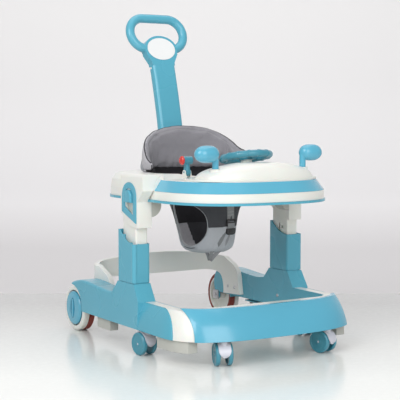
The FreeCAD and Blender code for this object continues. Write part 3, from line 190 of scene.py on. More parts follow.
def webbing(name, colour):
    """Ribbed strap webbing."""
    tree = Tree(name)
    ribs = tree.bands("Z", 330.0, 0.4, tree.place)
    speck = tree.noise(260.0)
    shade = tree.mix(ribs, rgb(colour, 0.6), rgb(colour, 1.15))
    return tree.surface({
        "Base Color": tree.mix(tree.remap(speck, 0.0, 0.4, 0.4, 0.8), shade, rgb(colour, 0.8)),
        "Roughness": tree.remap(speck, 0.6, 0.8, 0.3, 0.7),
        "Sheen Weight": 0.2,
        "Normal": tree.bump(ribs, 0.4, 0.0005)})


def metal(name, colour, rough):
    """Plated steel with fine scratches."""
    tree = Tree(name)
    scratch = tree.noise(210.0, 4.0, 0.7)
    return tree.surface({
        "Base Color": tree.mix(scratch, rgb(colour, 0.85), rgb(colour, 1.1)),
        "Metallic": 0.95,
        "Roughness": tree.remap(scratch, rough - 0.08, rough + 0.12, 0.3, 0.7),
        "Normal": tree.bump(scratch, 0.08, 0.0005, tree.rounded(0.0008))})


def rubber(name, colour):
    """Matt rubber with a fine grain and a little dust."""
    tree = Tree(name)
    grain = tree.noise(300.0, 3.0, 0.6)
    dust = tree.noise(30.0, 4.0, 0.6)
    dusty = tree.remap(dust, 0.0, 0.35, 0.45, 0.75)
    return tree.surface({
        "Base Color": tree.mix(dusty, rgb(colour), rgb(colour, 1.5)),
        "Roughness": tree.remap(dust, 0.5, 0.75, 0.3, 0.7),
        "Normal": tree.bump(grain, 0.15, 0.0005, tree.rounded(0.001))})


LOOKS = {
    "teal": plastic("teal_plastic", (0.095, 0.405, 0.535), 0.27),
    "light_teal": plastic("light_teal_plastic", (0.10, 0.42, 0.58), 0.24, coat=0.45),
    "dark_teal": plastic("dark_teal_plastic", (0.05, 0.27, 0.36), 0.30),
    "cream": plastic("cream_plastic", (0.82, 0.82, 0.77), 0.28, subsurface=0.08),
    "grey_cream": plastic("grey_cream_plastic", (0.84, 0.84, 0.80), 0.34, subsurface=0.05),
    "grey_plastic": plastic("grey_plastic", (0.50, 0.50, 0.46), 0.5, grain=0.06, coat=0.0),
    "white_plastic": plastic("white_plastic", (0.85, 0.86, 0.86), 0.22),
    "brown_rubber": rubber("red_brown_rubber", (0.24, 0.035, 0.022)),
    "red_plastic": plastic("red_plastic", (0.62, 0.030, 0.022), 0.25, edge=0.0008),
    "steel": metal("zinc_steel", (0.62, 0.62, 0.64), 0.35),
    "silver_plastic": plastic("silver_plastic", (0.62, 0.63, 0.70), 0.28, edge=0.001, coat=0.5),
    "seat_fabric": fabric("seat_fabric_dark", (0.085, 0.087, 0.098)),
    "back_fabric": fabric("back_fabric_grey", (0.345, 0.335, 0.365)),
    "webbing": webbing("grey_webbing", (0.30, 0.31, 0.32)),
    "black_plastic": plastic("black_plastic", (0.018, 0.018, 0.020), 0.35, edge=0.0006),
}
SILVER_CLOTH = fabric("silver_grey_fabric", (0.54, 0.56, 0.60), dark=0.85, rough=0.7, sheen=0.35)
STRAP_LIGHT = webbing("silver_webbing", (0.34, 0.35, 0.37))
# Darker webbing: painted shade, standing in for a shaded fold on the left tie.
PAINTED_SHADE_STRAP = webbing("painted_shade_webbing", (0.27, 0.28, 0.29))
# Dark grey cloth: painted shade in the seat's lining below its seam.
PAINTED_SHADE_GREY = fabric("painted_shade_grey_lining", (0.055, 0.055, 0.062), dark=0.7, rough=0.9, sheen=0.1)
# A paler copy of the grey cloth: painted light on the backrest's outer side and in pale patches of
# the seat's lining.
PAINTED_LIGHT_CLOTH = fabric("painted_light_grey_fabric", (0.52, 0.51, 0.54), dark=0.8)
# Black cloth: the backrest's lining, and painted shade inside the seat above its seam.
BLACK_LINING_AND_SHADE = fabric("black_lining_and_painted_shade", (0.022, 0.021, 0.025), dark=0.6, rough=0.95, sheen=0.1)
PIPING = fabric("dark_piping", (0.060, 0.058, 0.068), scale=900.0, rough=0.6)
PIPING_LIGHT = fabric("grey_piping", (0.50, 0.50, 0.52), scale=900.0, rough=0.6)

for entry in frame["record"]["subparts"]:
    for slot in frame["nodes"][entry["node"]].material_slots:
        slot.material = LOOKS[entry["material_slot"]]


# ---------------------------------------------------------------- mesh helpers
def link(name, data):
    obj = bpy.data.objects.new(name, data)
    scene.collection.objects.link(obj)
    return obj


def shade_smooth(mesh):
    for polygon in mesh.polygons:
        polygon.use_smooth = True


def new_object(name, verts, faces, material, smooth=True):
    mesh = bpy.data.meshes.new(name)
    mesh.from_pydata([tuple(v) for v in verts], [], faces)
    mesh.validate()
    mesh.update()
    mesh.materials.append(material)
    if smooth:
        shade_smooth(mesh)
    return link(name, mesh)


def object_from(name, edit_mesh, material):
    """A new object from an edit mesh, which is freed."""
    mesh = bpy.data.meshes.new(name)
    edit_mesh.to_mesh(mesh)
    edit_mesh.free()
    mesh.materials.append(material)
    return link(name, mesh)


def apply_modifiers(obj):
    graph = bpy.context.evaluated_depsgraph_get()
    result = bpy.data.meshes.new_from_object(obj.evaluated_get(graph))
    old = obj.data
    obj.modifiers.clear()
    obj.data = result
    bpy.data.meshes.remove(old)
    return obj


def soften_edges(obj, width, segments):
    """Bevels every edge of a small piece."""
    bevel = obj.modifiers.new("edge", "BEVEL")
    bevel.width = width
    bevel.segments = segments
    return apply_modifiers(obj)


def add_thickness(obj, thickness, offset):
    """Gives a single sheet its thickness; offset -1 is inward, 0 is both ways."""
    solid = obj.modifiers.new("thickness", "SOLIDIFY")
    solid.thickness = thickness
    solid.offset = offset
    return apply_modifiers(obj)


def tube(name, points, radius, material, closed=False, sides=10):
    """A round cord through points, as a mesh."""
    points = [Vector(p) for p in points]
    count = len(points)
    verts, up = [], None
    for i, p in enumerate(points):
        before = points[i - 1] if i or closed else p
        after = points[(i + 1) % count] if i < count - 1 or closed else p
        t = (after - before).normalized()
        if up is None:
            up = t.orthogonal().normalized()
        up = (up - t * up.dot(t)).normalized()
        side = t.cross(up)
        for k in range(sides):
            a = 2 * math.pi * k / sides
            verts.append(p + (up * math.cos(a) + side * math.sin(a)) * radius)
    faces = []
    for i in range(count if closed else count - 1):
        j = (i + 1) % count
        for k in range(sides):
            m = (k + 1) % sides
            faces.append((i * sides + k, i * sides + m, j * sides + m, j * sides + k))
    if not closed:
        faces.append(tuple(range(sides))[::-1])
        faces.append(tuple((count - 1) * sides + k for k in range(sides)))
    return new_object(name, verts, faces, material)


def ribbon(name, points, across, width, thick, material):
    """A flat strap of rectangular section through points; across holds its width directions."""
    points = [Vector(p) for p in points]
    verts = []
    for i, p in enumerate(points):
        t = (points[min(i + 1, len(points) - 1)] - points[max(i - 1, 0)]).normalized()
        w = Vector(across[i])
        w = (w - t * w.dot(t)).normalized()
        n = t.cross(w).normalized()
        for a, b in ((-1, -1), (1, -1), (1, 1), (-1, 1)):
            verts.append(p + w * (a * width / 2) + n * (b * thick / 2))
    faces = [(3, 2, 1, 0)]
    for i in range(len(points) - 1):
        for k in range(4):
            m = (k + 1) % 4
            faces.append((i * 4 + k, i * 4 + m, i * 4 + 4 + m, i * 4 + 4 + k))
    end = 4 * (len(points) - 1)
    faces.append((end, end + 1, end + 2, end + 3))
    return soften_edges(new_object(name, verts, faces, material, smooth=False), thick * 0.3, 2)


def oval(half, depth, power, middle, z, angle):
    """A point of a squared oval, from millimetres."""
    c, s = math.cos(angle), math.sin(angle)
    x = half * math.copysign(abs(c) ** (2 / power), c)
    y = middle + depth * math.copysign(abs(s) ** (2 / power), s)
    return Vector((x, y, z)) * MM


def hermite(t, a, b, slope_a, slope_b):
    """The point at share t of a cubic from a to b, with the slopes given at its ends."""
    return ((2 * t ** 3 - 3 * t ** 2 + 1) * a + (t ** 3 - 2 * t ** 2 + t) * slope_a
            + (3 * t ** 2 - 2 * t ** 3) * b + (t ** 3 - t ** 2) * slope_b)


def spline_at(table, key):
    """Smooth interpolation of a table of (key, values...) rows; past its ends the values hold."""
    rows = sorted(table)
    key = min(max(key, rows[0][0]), rows[-1][0])
    for i in range(len(rows) - 1):
        if key <= rows[i + 1][0]:
            break
    a, b = rows[i], rows[i + 1]
    before = rows[max(i - 1, 0)]
    after = rows[min(i + 2, len(rows) - 1)]
    span = b[0] - a[0]
    result = []
    for k in range(1, len(a)):
        slope_a = (b[k] - before[k]) / (b[0] - before[0]) * span
        slope_b = (after[k] - a[k]) / (after[0] - a[0]) * span
        result.append(hermite((key - a[0]) / span, a[k], b[k], slope_a, slope_b))
    return result


# ---------------------------------------------------------------- camera, lights, floor
CAMERA_AT = Vector((-1.665, -2.6635, 0.616))
CAMERA_AIM = Vector((0.0, 0.0405, 0.388))
AWAY = Vector((0.5243, 0.8515, 0.0))       # level, straight away from the camera
TABLE_END = 3.95                           # where the table stops, in metres from the camera
# Section of the paper sweep behind the table: distance past the table's end, and height.
SWEEP = ((0.002, -0.02), (0.3, -0.02), (1.2, 0.02), (1.8, 0.25), (2.1, 0.8), (2.2, 1.6), (2.2, 7.0))


def look_at(obj, target):
    obj.rotation_euler = (Vector(target) - obj.location).to_track_quat("-Z", "Y").to_euler()


def make_camera():
    data = bpy.data.cameras.new("camera")
    data.lens = 101.1
    data.sensor_width = 36.0
    data.clip_end = 60.0
    camera = link("camera", data)
    camera.location = CAMERA_AT
    look_at(camera, CAMERA_AIM)
    scene.camera = camera


def area_light(name, location, target, size, energy):
    data = bpy.data.lights.new(name, "AREA")
    data.shape = "RECTANGLE"
    data.size, data.size_y = size
    data.energy = energy
    obj = link(name, data)
    obj.location = location
    look_at(obj, target)


def make_stage():
    """A glossy white table with a pale sweep behind it, square to the camera."""
    right = Vector((AWAY.y, -AWAY.x, 0.0))

    def place(along, aside, up):
        return Vector((CAMERA_AT.x, CAMERA_AT.y, up)) + AWAY * along + right * aside

    corners = [place(-3, -6, 0), place(-3, 6, 0),
               place(TABLE_END, 6, 0), place(TABLE_END, -6, 0)]
    table = new_object("floor", corners, [(0, 1, 2, 3)], floor_material(), smooth=False)
    verts, faces = [], []
    for past, up in SWEEP:
        verts += [place(TABLE_END + past, -9, up), place(TABLE_END + past, 9, up)]
    for i in range(len(SWEEP) - 1):
        faces.append((2 * i, 2 * i + 1, 2 * i + 3, 2 * i + 2))
    sweep = new_object("backdrop", verts, faces, backdrop_material())


def floor_material():
    tree = Tree("white_acrylic")
    scuff = tree.noise(60.0, 4.0, 0.6)
    near = tree.mix(tree.noise(0.9), (0.92, 0.93, 0.90, 1), (0.96, 0.97, 0.94, 1))
    # The table is painted darker away from the camera: painted shade where the light falls off.
    far = tree.along(AWAY, -0.5, 0.6)
    return tree.surface({
        "Base Color": tree.mix(far, near, (0.58, 0.58, 0.57, 1)),
        "Roughness": tree.remap(scuff, 0.10, 0.22, 0.3, 0.7)})


def backdrop_material():
    tree = Tree("paper_sweep")
    # The sweep is painted darker at its foot, as painted shade where it meets the table, and
    # lighter at its top, as painted light.
    foot, body, top = (0.76, 0.74, 0.745, 1), (0.97, 0.95, 0.955, 1), (1.0, 0.985, 0.98, 1)
    low = tree.mix(tree.along((0, 0, 1), -0.02, 0.2), foot, body)
    return tree.surface({
        "Base Color": tree.mix(tree.along((0, 0, 1), 0.2, 1.2), low, top),
        "Roughness": 0.9,
        "Normal": tree.bump(tree.noise(500.0), 0.05, 0.0005)})


def make_lights():
    """A soft sky that the camera sees as pale grey, and four large lamps."""
    world = bpy.data.worlds.new("world")
    scene.world = world
    world.use_nodes = True
    nodes, links = world.node_tree.nodes, world.node_tree.links
    light = nodes["Background"]
    light.inputs["Color"].default_value = (0.97, 0.98, 1.0, 1)
    light.inputs["Strength"].default_value = 0.40
    shown = nodes.new("ShaderNodeBackground")
    shown.inputs["Color"].default_value = (0.90, 0.89, 0.90, 1)
    path, mix = nodes.new("ShaderNodeLightPath"), nodes.new("ShaderNodeMixShader")
    links.new(path.outputs["Is Camera Ray"], mix.inputs[0])
    links.new(light.outputs[0], mix.inputs[1])
    links.new(shown.outputs[0], mix.inputs[2])
    links.new(mix.outputs[0], nodes["World Output"].inputs["Surface"])
    area_light("key_left", (-3.2, -1.6, 2.6), (0, 0, 0.35), (2.2, 2.2), 75)
    area_light("front", (-0.6, -3.8, 1.9), (0, 0, 0.35), (2.6, 2.6), 62)
    area_light("top", (0.2, 0.3, 3.4), (0, 0, 0.2), (3.0, 3.0), 30)
    area_light("back_wash", (1.6, 3.3, 2.8), (2.6, 4.6, 0.9), (3.0, 1.5), 80)


scene.view_settings.view_transform = "Standard"
make_camera()
make_stage()
make_lights()


# ---------------------------------------------------------------- fabric seat
# Rows of the hanging seat: height, half width, half depth and the middle of its oval, in
# millimetres.
SLING = [(462.0, 164.7, 129.7, 30.5), (430.0, 122.0, 108.0, 23.0), (398.0, 101.0, 97.0, 14.0),
         (350.0, 84.0, 88.0, 7.0), (300.0, 71.0, 80.0, 4.0), (266.0, 64.0, 70.0, 4.0),
         (256.0, 57.0, 61.0, 4.0), (250.0, 46.0, 49.0, 4.0)]
RIM_Z, FLOOR_Z = SLING[0][0], SLING[-1][0]
FLOOR_SAG = 1.6            # how far the bottom hangs below its edge
WALL_ROWS, FLOOR_ROWS = 84, 12
AROUND = 210               # points round the seat
SEAT_POWER = 2.5
SEAT_AXIS_Y = 0.005        # the seat's upright axis, in metres
SEAM_Z = 321.0             # where the dark upper panel meets the silver one
GATHER_Z = 418.0           # the middle of the gathers under the ring
LEG_Y, LEG_Z, LEG_HALF_Y, LEG_HALF_Z = -13.0, 327.5, 65.0, 70.0
LEG_EDGE_LEFT, LEG_EDGE_RIGHT = 52.0, 42.0     # how near the middle each leg opening comes
LEG_NEAREST_Z = 316.0                          # the height where the right one comes nearest
# Above and below that height it draws away by the first number, at the second one's distance.
LEG_DRAW_ABOVE, LEG_DRAW_BELOW = (9.0, 62.0), (7.0, 30.0)
LEG_CORNER = 14.0                              # how widely the two edges of an opening blend
BOTTOM_TOP = 0.256                             # below it, in metres, the cloth faces down
# The lining below the seam is painted pale, as painted light, at the bottom and to the right of a
# slanting line, and dark grey, as painted shade, elsewhere: the bottom's height, the line's x and
# its slope.
PAINTED_LIGHT_BELOW_Z, PAINTED_LIGHT_X, PAINTED_LIGHT_SLOPE = 257.0, -15.0, 0.3
# Outer cloths first, then the lining's: black painted shade above the seam, grey painted shade and
# pale painted light below it.
SEAT_CLOTHS = (LOOKS["seat_fabric"], SILVER_CLOTH, BLACK_LINING_AND_SHADE, PAINTED_SHADE_GREY, PAINTED_LIGHT_CLOTH)


def smooth_max(a, b, width):
    h = max(width - abs(a - b), 0.0) / width
    return max(a, b) + h * h * width / 4


def leg_edge(p):
    """Distance in millimetres from the edge of the leg openings, negative inside one."""
    x, y, z = (c / MM for c in p)
    off = (math.hypot((y - LEG_Y) / LEG_HALF_Y, (z - LEG_Z) / LEG_HALF_Z) - 1) * LEG_HALF_Y
    edge = LEG_EDGE_LEFT
    if x <= 0:
        above = z - LEG_NEAREST_Z
        draw, reach = LEG_DRAW_ABOVE if above > 0 else LEG_DRAW_BELOW
        edge = LEG_EDGE_RIGHT + draw * (above / reach) ** 2
    return smooth_max(off, edge - abs(x), LEG_CORNER)


def front_point(x, z):
    """The point of the seat's front face at that x and height."""
    a, b, middle = spline_at(SLING, z)
    y = middle - b * (1 - min(abs(x) / a, 1.0) ** SEAT_POWER) ** (1 / SEAT_POWER)
    return Vector((x, y, z)) * MM


def outward(p):
    """The level direction from the seat's axis to a point."""
    return Vector((p.x, p.y - SEAT_AXIS_Y, 0)).normalized()


def bell(distance, width):
    return math.exp(-(distance / width) ** 2)


def segment_distance(p, a, b):
    """Distance in millimetres from a point to the line between two others."""
    along = (p - a).dot(b - a) / (b - a).length_squared
    return (p - a - (b - a) * min(max(along, 0.0), 1.0)).length / MM


LONG_FOLD = (front_point(10, 318), front_point(-20, 258))
SHORT_FOLD = (front_point(18, 306), front_point(7, 256))


def cloth_wave(p, angle):
    """How far the cloth stands off its plain oval, in millimetres."""
    z = p.z / MM
    c, s = math.cos(angle), math.sin(angle)
    wave = 1.5 * noise.noise(Vector((c * 4.2, s * 4.2, z / 75)))             # broad waves
    wave += 0.7 * noise.noise(Vector((c * 13, s * 13, z / 38 + 5)))          # small creases
    gather = math.sin(angle * 22 + 2.5 * noise.noise(Vector((0, angle, z / 90))))
    wave += 1.0 * gather * bell(z - GATHER_Z, 26)
    wave -= 1.1 * bell(z - SEAM_Z, 1.8)                                      # the seam sinks in
    wave += 0.35 * math.sin(angle * 95) * bell(z - SEAM_Z, 9)                # and puckers
    if p.y < 0:
        off = segment_distance(p, *LONG_FOLD)
        wave += 1.8 * bell(off, 4) - 1.3 * bell(off - 8, 4)
        wave += 1.4 * bell(segment_distance(p, *SHORT_FOLD), 4)
    fade = min(max((446 - z) / 30, 0.0), 1.0)                                # flat at the rim
    return wave * fade


def boundary_loops(mesh):
    """The open edges of a mesh, chained into loops of vertex numbers."""
    used = {}
    for polygon in mesh.polygons:
        for key in polygon.edge_keys:
            used[key] = used.get(key, 0) + 1
    links = {}
    for (a, b), count in used.items():
        if count == 1:
            links.setdefault(a, []).append(b)
            links.setdefault(b, []).append(a)
    loops, seen = [], set()
    for first in sorted(links):
        if first in seen:
            continue
        loop, here, before = [], first, None
        while here is not None and here not in seen:
            seen.add(here)
            loop.append(here)
            onward = [n for n in links[here] if n != before and n not in seen]
            before, here = here, onward[0] if onward else None
        loops.append(loop)
    return loops


def even_loop(points, spacing, passes=4):
    """A closed line through points, smoothed and with its points evenly apart."""
    count = len(points)
    for _ in range(passes):
        points = [(points[i - 1] + points[i] * 2 + points[(i + 1) % count]) / 4
                  for i in range(count)]
    lengths = [(points[(i + 1) % count] - points[i]).length for i in range(count)]
    total = sum(lengths)
    steps = int(total / spacing)
    result, i, gone = [], 0, 0.0
    for k in range(steps):
        target = total * k / steps
        while gone + lengths[i] < target:
            gone += lengths[i]
            i += 1
        share = (target - gone) / lengths[i]
        result.append(points[i].lerp(points[(i + 1) % count], share))
    return result


def smooth_line(points, passes=3):
    """An open line, smoothed with its ends held."""
    for _ in range(passes):
        points = [points[0]] + [(points[i - 1] + points[i] * 2 + points[i + 1]) / 4
                                for i in range(1, len(points) - 1)] + [points[-1]]
    return points


def sling_rows():
    """Rows of (height, share of the oval) from the rim down, then in across the bottom."""
    walls = [(RIM_Z - (RIM_Z - FLOOR_Z) * i / WALL_ROWS, 1.0) for i in range(WALL_ROWS + 1)]
    return walls + [(FLOOR_Z - FLOOR_SAG * math.sin(math.pi / 2 * k / FLOOR_ROWS),
                     1 - k / FLOOR_ROWS) for k in range(1, FLOOR_ROWS)]


def sling_place(rows, angle, row):
    """A point of the plain seat at an angle and a row, which may lie between two rows."""
    low = min(int(row), len(rows) - 2)
    share = row - low
    z, scale = (a * (1 - share) + b * share for a, b in zip(rows[low], rows[low + 1]))
    a, b, middle = spline_at(SLING, max(z, FLOOR_Z))
    return oval(a * scale, b * scale, SEAT_POWER, middle, z, angle)


def drawn_to_edge(spot, cell, values):
    """Where a grid point just inside a leg opening moves to, so that it lies on the edge."""
    (i, j), best = cell, None
    for di, dj in ((1, 0), (-1, 0), (0, 1), (0, -1), (1, 1), (1, -1), (-1, 1), (-1, -1)):
        other = values.get(((i + di) % AROUND, j + dj), -1)
        if other >= 0:
            t = values[cell] / (values[cell] - other)
            reach = t * (1 if di == 0 or dj == 0 else 1.41)
            if best is None or reach < best[0]:
                best = (reach, t * di, t * dj)
    if best is None:
        return spot
    return spot[0] + best[1] * 2 * math.pi / AROUND, spot[1] + best[2]


def make_sling():
    """The seat's cloth: a grid round the oval, left out over the leg openings."""
    rows = sling_rows()
    cells = [(i, j) for j in range(len(rows)) for i in range(AROUND)]
    spots = {(i, j): (2 * math.pi * i / AROUND, float(j)) for i, j in cells}
    values = {cell: leg_edge(sling_place(rows, *spots[cell])) for cell in cells}
    verts, index = [], {}
    for cell in cells:
        spot = spots[cell]
        if values[cell] < 0:
            spot = drawn_to_edge(spot, cell, values)
        p = sling_place(rows, *spot)
        if spot[1] > WALL_ROWS:
            p += Vector((0, 0, -0.6 * noise.noise(p * 60))) * MM
        else:
            p += outward(p) * cloth_wave(p, spot[0]) * MM
        index[cell] = len(verts)
        verts.append(p)
    tip = len(verts)
    verts.append(Vector((0, SLING[-1][3], FLOOR_Z - FLOOR_SAG)) * MM)
    faces = []
    for j in range(len(rows) - 1):
        for i in range(AROUND):
            m = (i + 1) % AROUND
            corners = [(i, j), (i, j + 1), (m, j + 1), (m, j)]
            if any(values[c] >= 0 for c in corners):
                faces.append([index[c] for c in corners])
    last = len(rows) - 1
    faces += [[index[i, last], tip, index[(i + 1) % AROUND, last]] for i in range(AROUND)]
    obj = new_object("seat_cloth", verts, faces, LOOKS["seat_fabric"])
    mesh = bmesh.new()
    mesh.from_mesh(obj.data)
    bmesh.ops.dissolve_degenerate(mesh, dist=0.0002, edges=mesh.edges)
    bmesh.ops.delete(mesh, geom=[v for v in mesh.verts if not v.link_faces], context="VERTS")
    bmesh.ops.recalc_face_normals(mesh, faces=mesh.faces)
    mesh.to_mesh(obj.data)
    mesh.free()
    return obj


def seat_cloth_at(centre, normal):
    """Which cloth the seat has at a face, from outside or, for its lining, from inside; the
    lining's colours are painted shade and painted light.
    """
    at = centre / MM
    if centre.z > BOTTOM_TOP:
        lining = normal.dot(outward(centre)) < 0
    else:
        lining = normal.z > 0
    if not lining:
        return LOOKS["seat_fabric"] if at.z > SEAM_Z else SILVER_CLOTH
    # Above the seam the lining is painted black: painted shade inside the seat.
    if at.z > SEAM_Z:
        return BLACK_LINING_AND_SHADE
    # Below the seam: pale cloth as painted light beside the slanting line and at the bottom, dark
    # grey painted shade elsewhere.
    painted_light_to = PAINTED_LIGHT_X + (SEAM_Z - at.z) * PAINTED_LIGHT_SLOPE
    return PAINTED_LIGHT_CLOTH if at.x < painted_light_to or at.z < PAINTED_LIGHT_BELOW_Z else PAINTED_SHADE_GREY


def finish_sling(obj):
    """Gives the cloth its thickness, then each panel its own fabric, and the lining its painted
    shade and painted light.
    """
    add_thickness(obj, 0.0032, -1.0)
    for material in SEAT_CLOTHS[1:]:
        obj.data.materials.append(material)
    shade_smooth(obj.data)
    for polygon in obj.data.polygons:
        cloth = seat_cloth_at(polygon.center, polygon.normal)
        polygon.material_index = SEAT_CLOTHS.index(cloth)


def beside_edge(points, shift, lift):
    """A loop moved sideways over the cloth, away from the opening that it bounds."""
    middle = sum(points, Vector()) / len(points)
    result = []
    for i, p in enumerate(points):
        t = (points[(i + 1) % len(points)] - points[i - 1]).normalized()
        out = outward(p)
        side = t.cross(out).normalized()
        if side.dot(p - middle) < 0:
            side = -side
        result.append(p + side * shift + out * lift)
    return result


def bind_edges(loops):
    """A dark cord under the rim, and a pale binding with a dark one beside it round each leg."""
    rim_middle = Vector((0, SLING[0][3], RIM_Z)) * MM
    stray_below, spacing, rim_from = 40, 0.003, 0.45
    trims = []
    for loop in loops:
        if len(loop) < stray_below:
            continue
        line = even_loop(loop, spacing)
        if sum(p.z for p in line) / len(line) > rim_from:
            rim = [p + (rim_middle - p).normalized() * 0.0022 - Vector((0, 0, 0.0015))
                   for p in line]
            trims.append(tube("seat_rim_binding", rim, 0.0018, PIPING, closed=True))
            continue
        side = "left" if line[0].x > 0 else "right"
        trims.append(tube("leg_binding_" + side, beside_edge(line, 0.0012, -0.0008), 0.0032,
                          PIPING_LIGHT, closed=True))
        trims.append(tube("leg_piping_" + side, beside_edge(line, 0.0054, 0.0004), 0.0016,
                          PIPING, closed=True, sides=8))
    return trims


sling = make_sling()
loops = [[sling.data.vertices[k].co.copy() for k in loop] for loop in boundary_loops(sling.data)]
finish_sling(sling)
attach(sling, "upper")
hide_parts("seat_sling")
trims = bind_edges(loops)
for trim in trims:
    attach(trim, "upper")


# ---------------------------------------------------------------- straps and buckle
STRAP_WIDE, STRAP_THICK = 25, 1.6
BUCKLE_Z, BUCKLE_END_Z = 333, 309          # heights of the buckle's ladder and of its round end
BUCKLE_LIFT = 2.2                          # its back, off the cloth


def cloth_normal(x, z):
    a = front_point(x + 1, z) - front_point(x - 1, z)
    b = front_point(x, z + 1) - front_point(x, z - 1)
    n = a.cross(b).normalized()
    return n if n.y < 0 else -n


def on_front(x, z, lift):
    return front_point(x, z) + cloth_normal(x, z) * lift * MM


def across_front(x, z):
    return (front_point(x + 2, z) - front_point(x - 2, z)).normalized()


def strap_middle(z):
    """The strap's x: it leans a little above the buckle."""
    return 23.5 - 3.0 * max(z - 330, 0) / 66


def front_strap(name, low, high, lift, width, thick, material, wave=0.0):
    """A strap down the seat's front between two heights, standing off the cloth by lift."""
    points, widths, steps = [], [], 14
    for k in range(steps + 1):
        z = high + (low - high) * k / steps
        x = strap_middle(z)
        points.append(on_front(x, z, lift + wave * math.sin(math.pi * k / steps)))
        widths.append(across_front(x, z))
    return ribbon(name, points, widths, width * MM, thick * MM, material)


def plate(outline, z_middle, high, low=BUCKLE_LIFT, edge=0.9):
    """A flat moulded piece on the seat's front: its outline in (across, up), and its back and
    front off the cloth."""
    x = strap_middle(z_middle)
    origin, right = front_point(x, z_middle), across_front(x, z_middle)
    out = cloth_normal(x, z_middle)
    up = out.cross(right).normalized()
    if up.z < 0:
        up = -up
    mesh = bmesh.new()
    back, front = ([mesh.verts.new(origin + (right * a + up * b + out * off) * MM)
                    for a, b in outline] for off in (low, high))
    mesh.faces.new(back)
    mesh.faces.new(front[::-1])
    for i in range(len(outline)):
        j = (i + 1) % len(outline)
        mesh.faces.new((back[i], front[i], front[j], back[j]))
    bmesh.ops.recalc_face_normals(mesh, faces=mesh.faces)
    return soften_edges(object_from("plate", mesh, LOOKS["black_plastic"]), edge * MM, 3)


def box(left, right, low, high):
    return [(left, low), (right, low), (right, high), (left, high)]


def rounded_end(half, top, bottom, radius):
    """An outline square at the top and rounded at the bottom corners."""
    points = [(-half, top), (half, top)]
    turns = [math.pi / 2 * k / 6 for k in range(7)]
    points += [(half - radius + radius * math.cos(t), bottom + radius - radius * math.sin(t))
               for t in turns]
    points += [(-half + radius - radius * math.sin(t), bottom + radius - radius * math.cos(t))
               for t in turns]
    return points


def joined(name, parts):
    """Several meshes of one material as a single piece."""
    mesh = bmesh.new()
    for part in parts:
        mesh.from_mesh(part.data)
    material = parts[0].data.materials[0]
    for part in parts:
        bpy.data.objects.remove(part)
    obj = object_from(name, mesh, material)
    shade_smooth(obj.data)
    return obj


strap = front_strap("crotch_webbing", 338, 404, 3.4, STRAP_WIDE, STRAP_THICK, LOOKS["webbing"])
lower_strap = front_strap("crotch_webbing_end", 316, 336, 4.4, STRAP_WIDE, STRAP_THICK,
                          STRAP_LIGHT, wave=2.6)
stitches = [front_strap(f"strap_stitch_{k}", z, z + 1.0, 4.5, 21, 0.5, PIPING_LIGHT)
            for k, z in enumerate((353, 362))]
buckle = joined("ladder_buckle", [
    plate(box(-16, 16, 6.0, 9.5), BUCKLE_Z, 6.8),
    plate(box(-16, 16, -1.5, 1.8), BUCKLE_Z, 7.8),
    plate(box(-17, -13.6, -9, 9.5), BUCKLE_Z, 7.4),
    plate(box(13.6, 17, -9, 9.5), BUCKLE_Z, 7.4),
    plate(rounded_end(16.5, 8, -10, 8), BUCKLE_END_Z, 8.8, edge=1.6),
    plate(box(-9, 9, -3.5, 4.5), BUCKLE_END_Z, 9.8, low=7.4, edge=1.0)])
for piece in [strap, lower_strap, buckle] + stitches:
    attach(piece, "upper")
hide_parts("crotch_strap")
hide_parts("buckle")


def hanging_strap(name, path, across, width, material=STRAP_LIGHT):
    """A loose fabric tie: its path in millimetres, smoothed, with the width direction given."""
    points = [Vector(p) * MM for p in path]
    smooth, steps = [], 6
    for i in range(len(points) - 1):
        a, b = points[i], points[i + 1]
        before, after = points[max(i - 1, 0)], points[min(i + 2, len(points) - 1)]
        smooth += [hermite(k / steps, a, b, (b - before) / 2, (after - a) / 2)
                   for k in range(steps)]
    smooth.append(points[-1])
    return ribbon(name, smooth, [across] * len(smooth), width * MM, 1.4 * MM, material)


def lifted(*spots):
    """Points just off the cloth, in millimetres, from their x and height."""
    return [on_front(x, z, 3.5) / MM for x, z in spots]


ties = [
    # The left tie is of the darker webbing: painted shade of a fold.
    hanging_strap("tie_left", lifted((10, 318), (2, 298), (-8, 276)) + [
        (-16, -56, 256), (-21, -50, 240), (-22, -47, 227), (-25, -43, 240), (-29, -38, 254)],
        (0.85, -0.2, -0.35), 10, PAINTED_SHADE_STRAP),
    hanging_strap("tie_right", lifted((18, 300), (13, 280)) + [
        (8, -56, 258), (-1, -51, 247), (-11, -48, 236), (-20, -46, 226)],
        (0.75, -0.3, -0.6), 11)]
for tie in ties:
    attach(tie, "upper")


# ---------------------------------------------------------------- padded backrest
# The pad's middle line in plan is part of a squared oval, in millimetres.
BACK_MID, BACK_HALF, BACK_DEEP, BACK_POWER = 20.0, 152.0, 129.0, 3.3
BACK_END_Y = 34.0                          # where its two wings start
BACK_LOW = 471.0                           # its foot, on the ring
# Its upper edge: x and height.
BACK_EDGE = [(-166.0, 470.0), (-161.0, 500.0), (-155.0, 533.0), (-136.0, 563.0),
             (-113.0, 577.5), (-104.0, 583.5), (-75.0, 593.5), (-45.0, 600.0), (0.0, 604.5),
             (56.0, 601.0), (106.0, 590.5), (136.0, 574.0), (153.0, 553.0), (161.0, 528.0),
             (166.0, 490.0)]
BACK_WIDEST = 161                          # the upper edge isn't read past this x
PAD_STEPS, PAD_AROUND = 90, 44             # its mesh, along and round
PAD_THICK, PAD_SHRINK = 15.0, 1.5          # before it is filled, which swells it
CLOTH_FRAMES = 20
PATH_STEPS = 120                           # of the line that the seams and cords follow
ROOM_TOP, ROOM_X, ROOM_BACK = 0.606, 0.1625, 0.1585     # the pad's room, in metres
SEAM_INSIDE, SEAM_DROP = -12, 17           # the sewn line on its inner face, below its top
WING_SEAMS = (17, 103)                     # steps of the path where the wings are sewn on


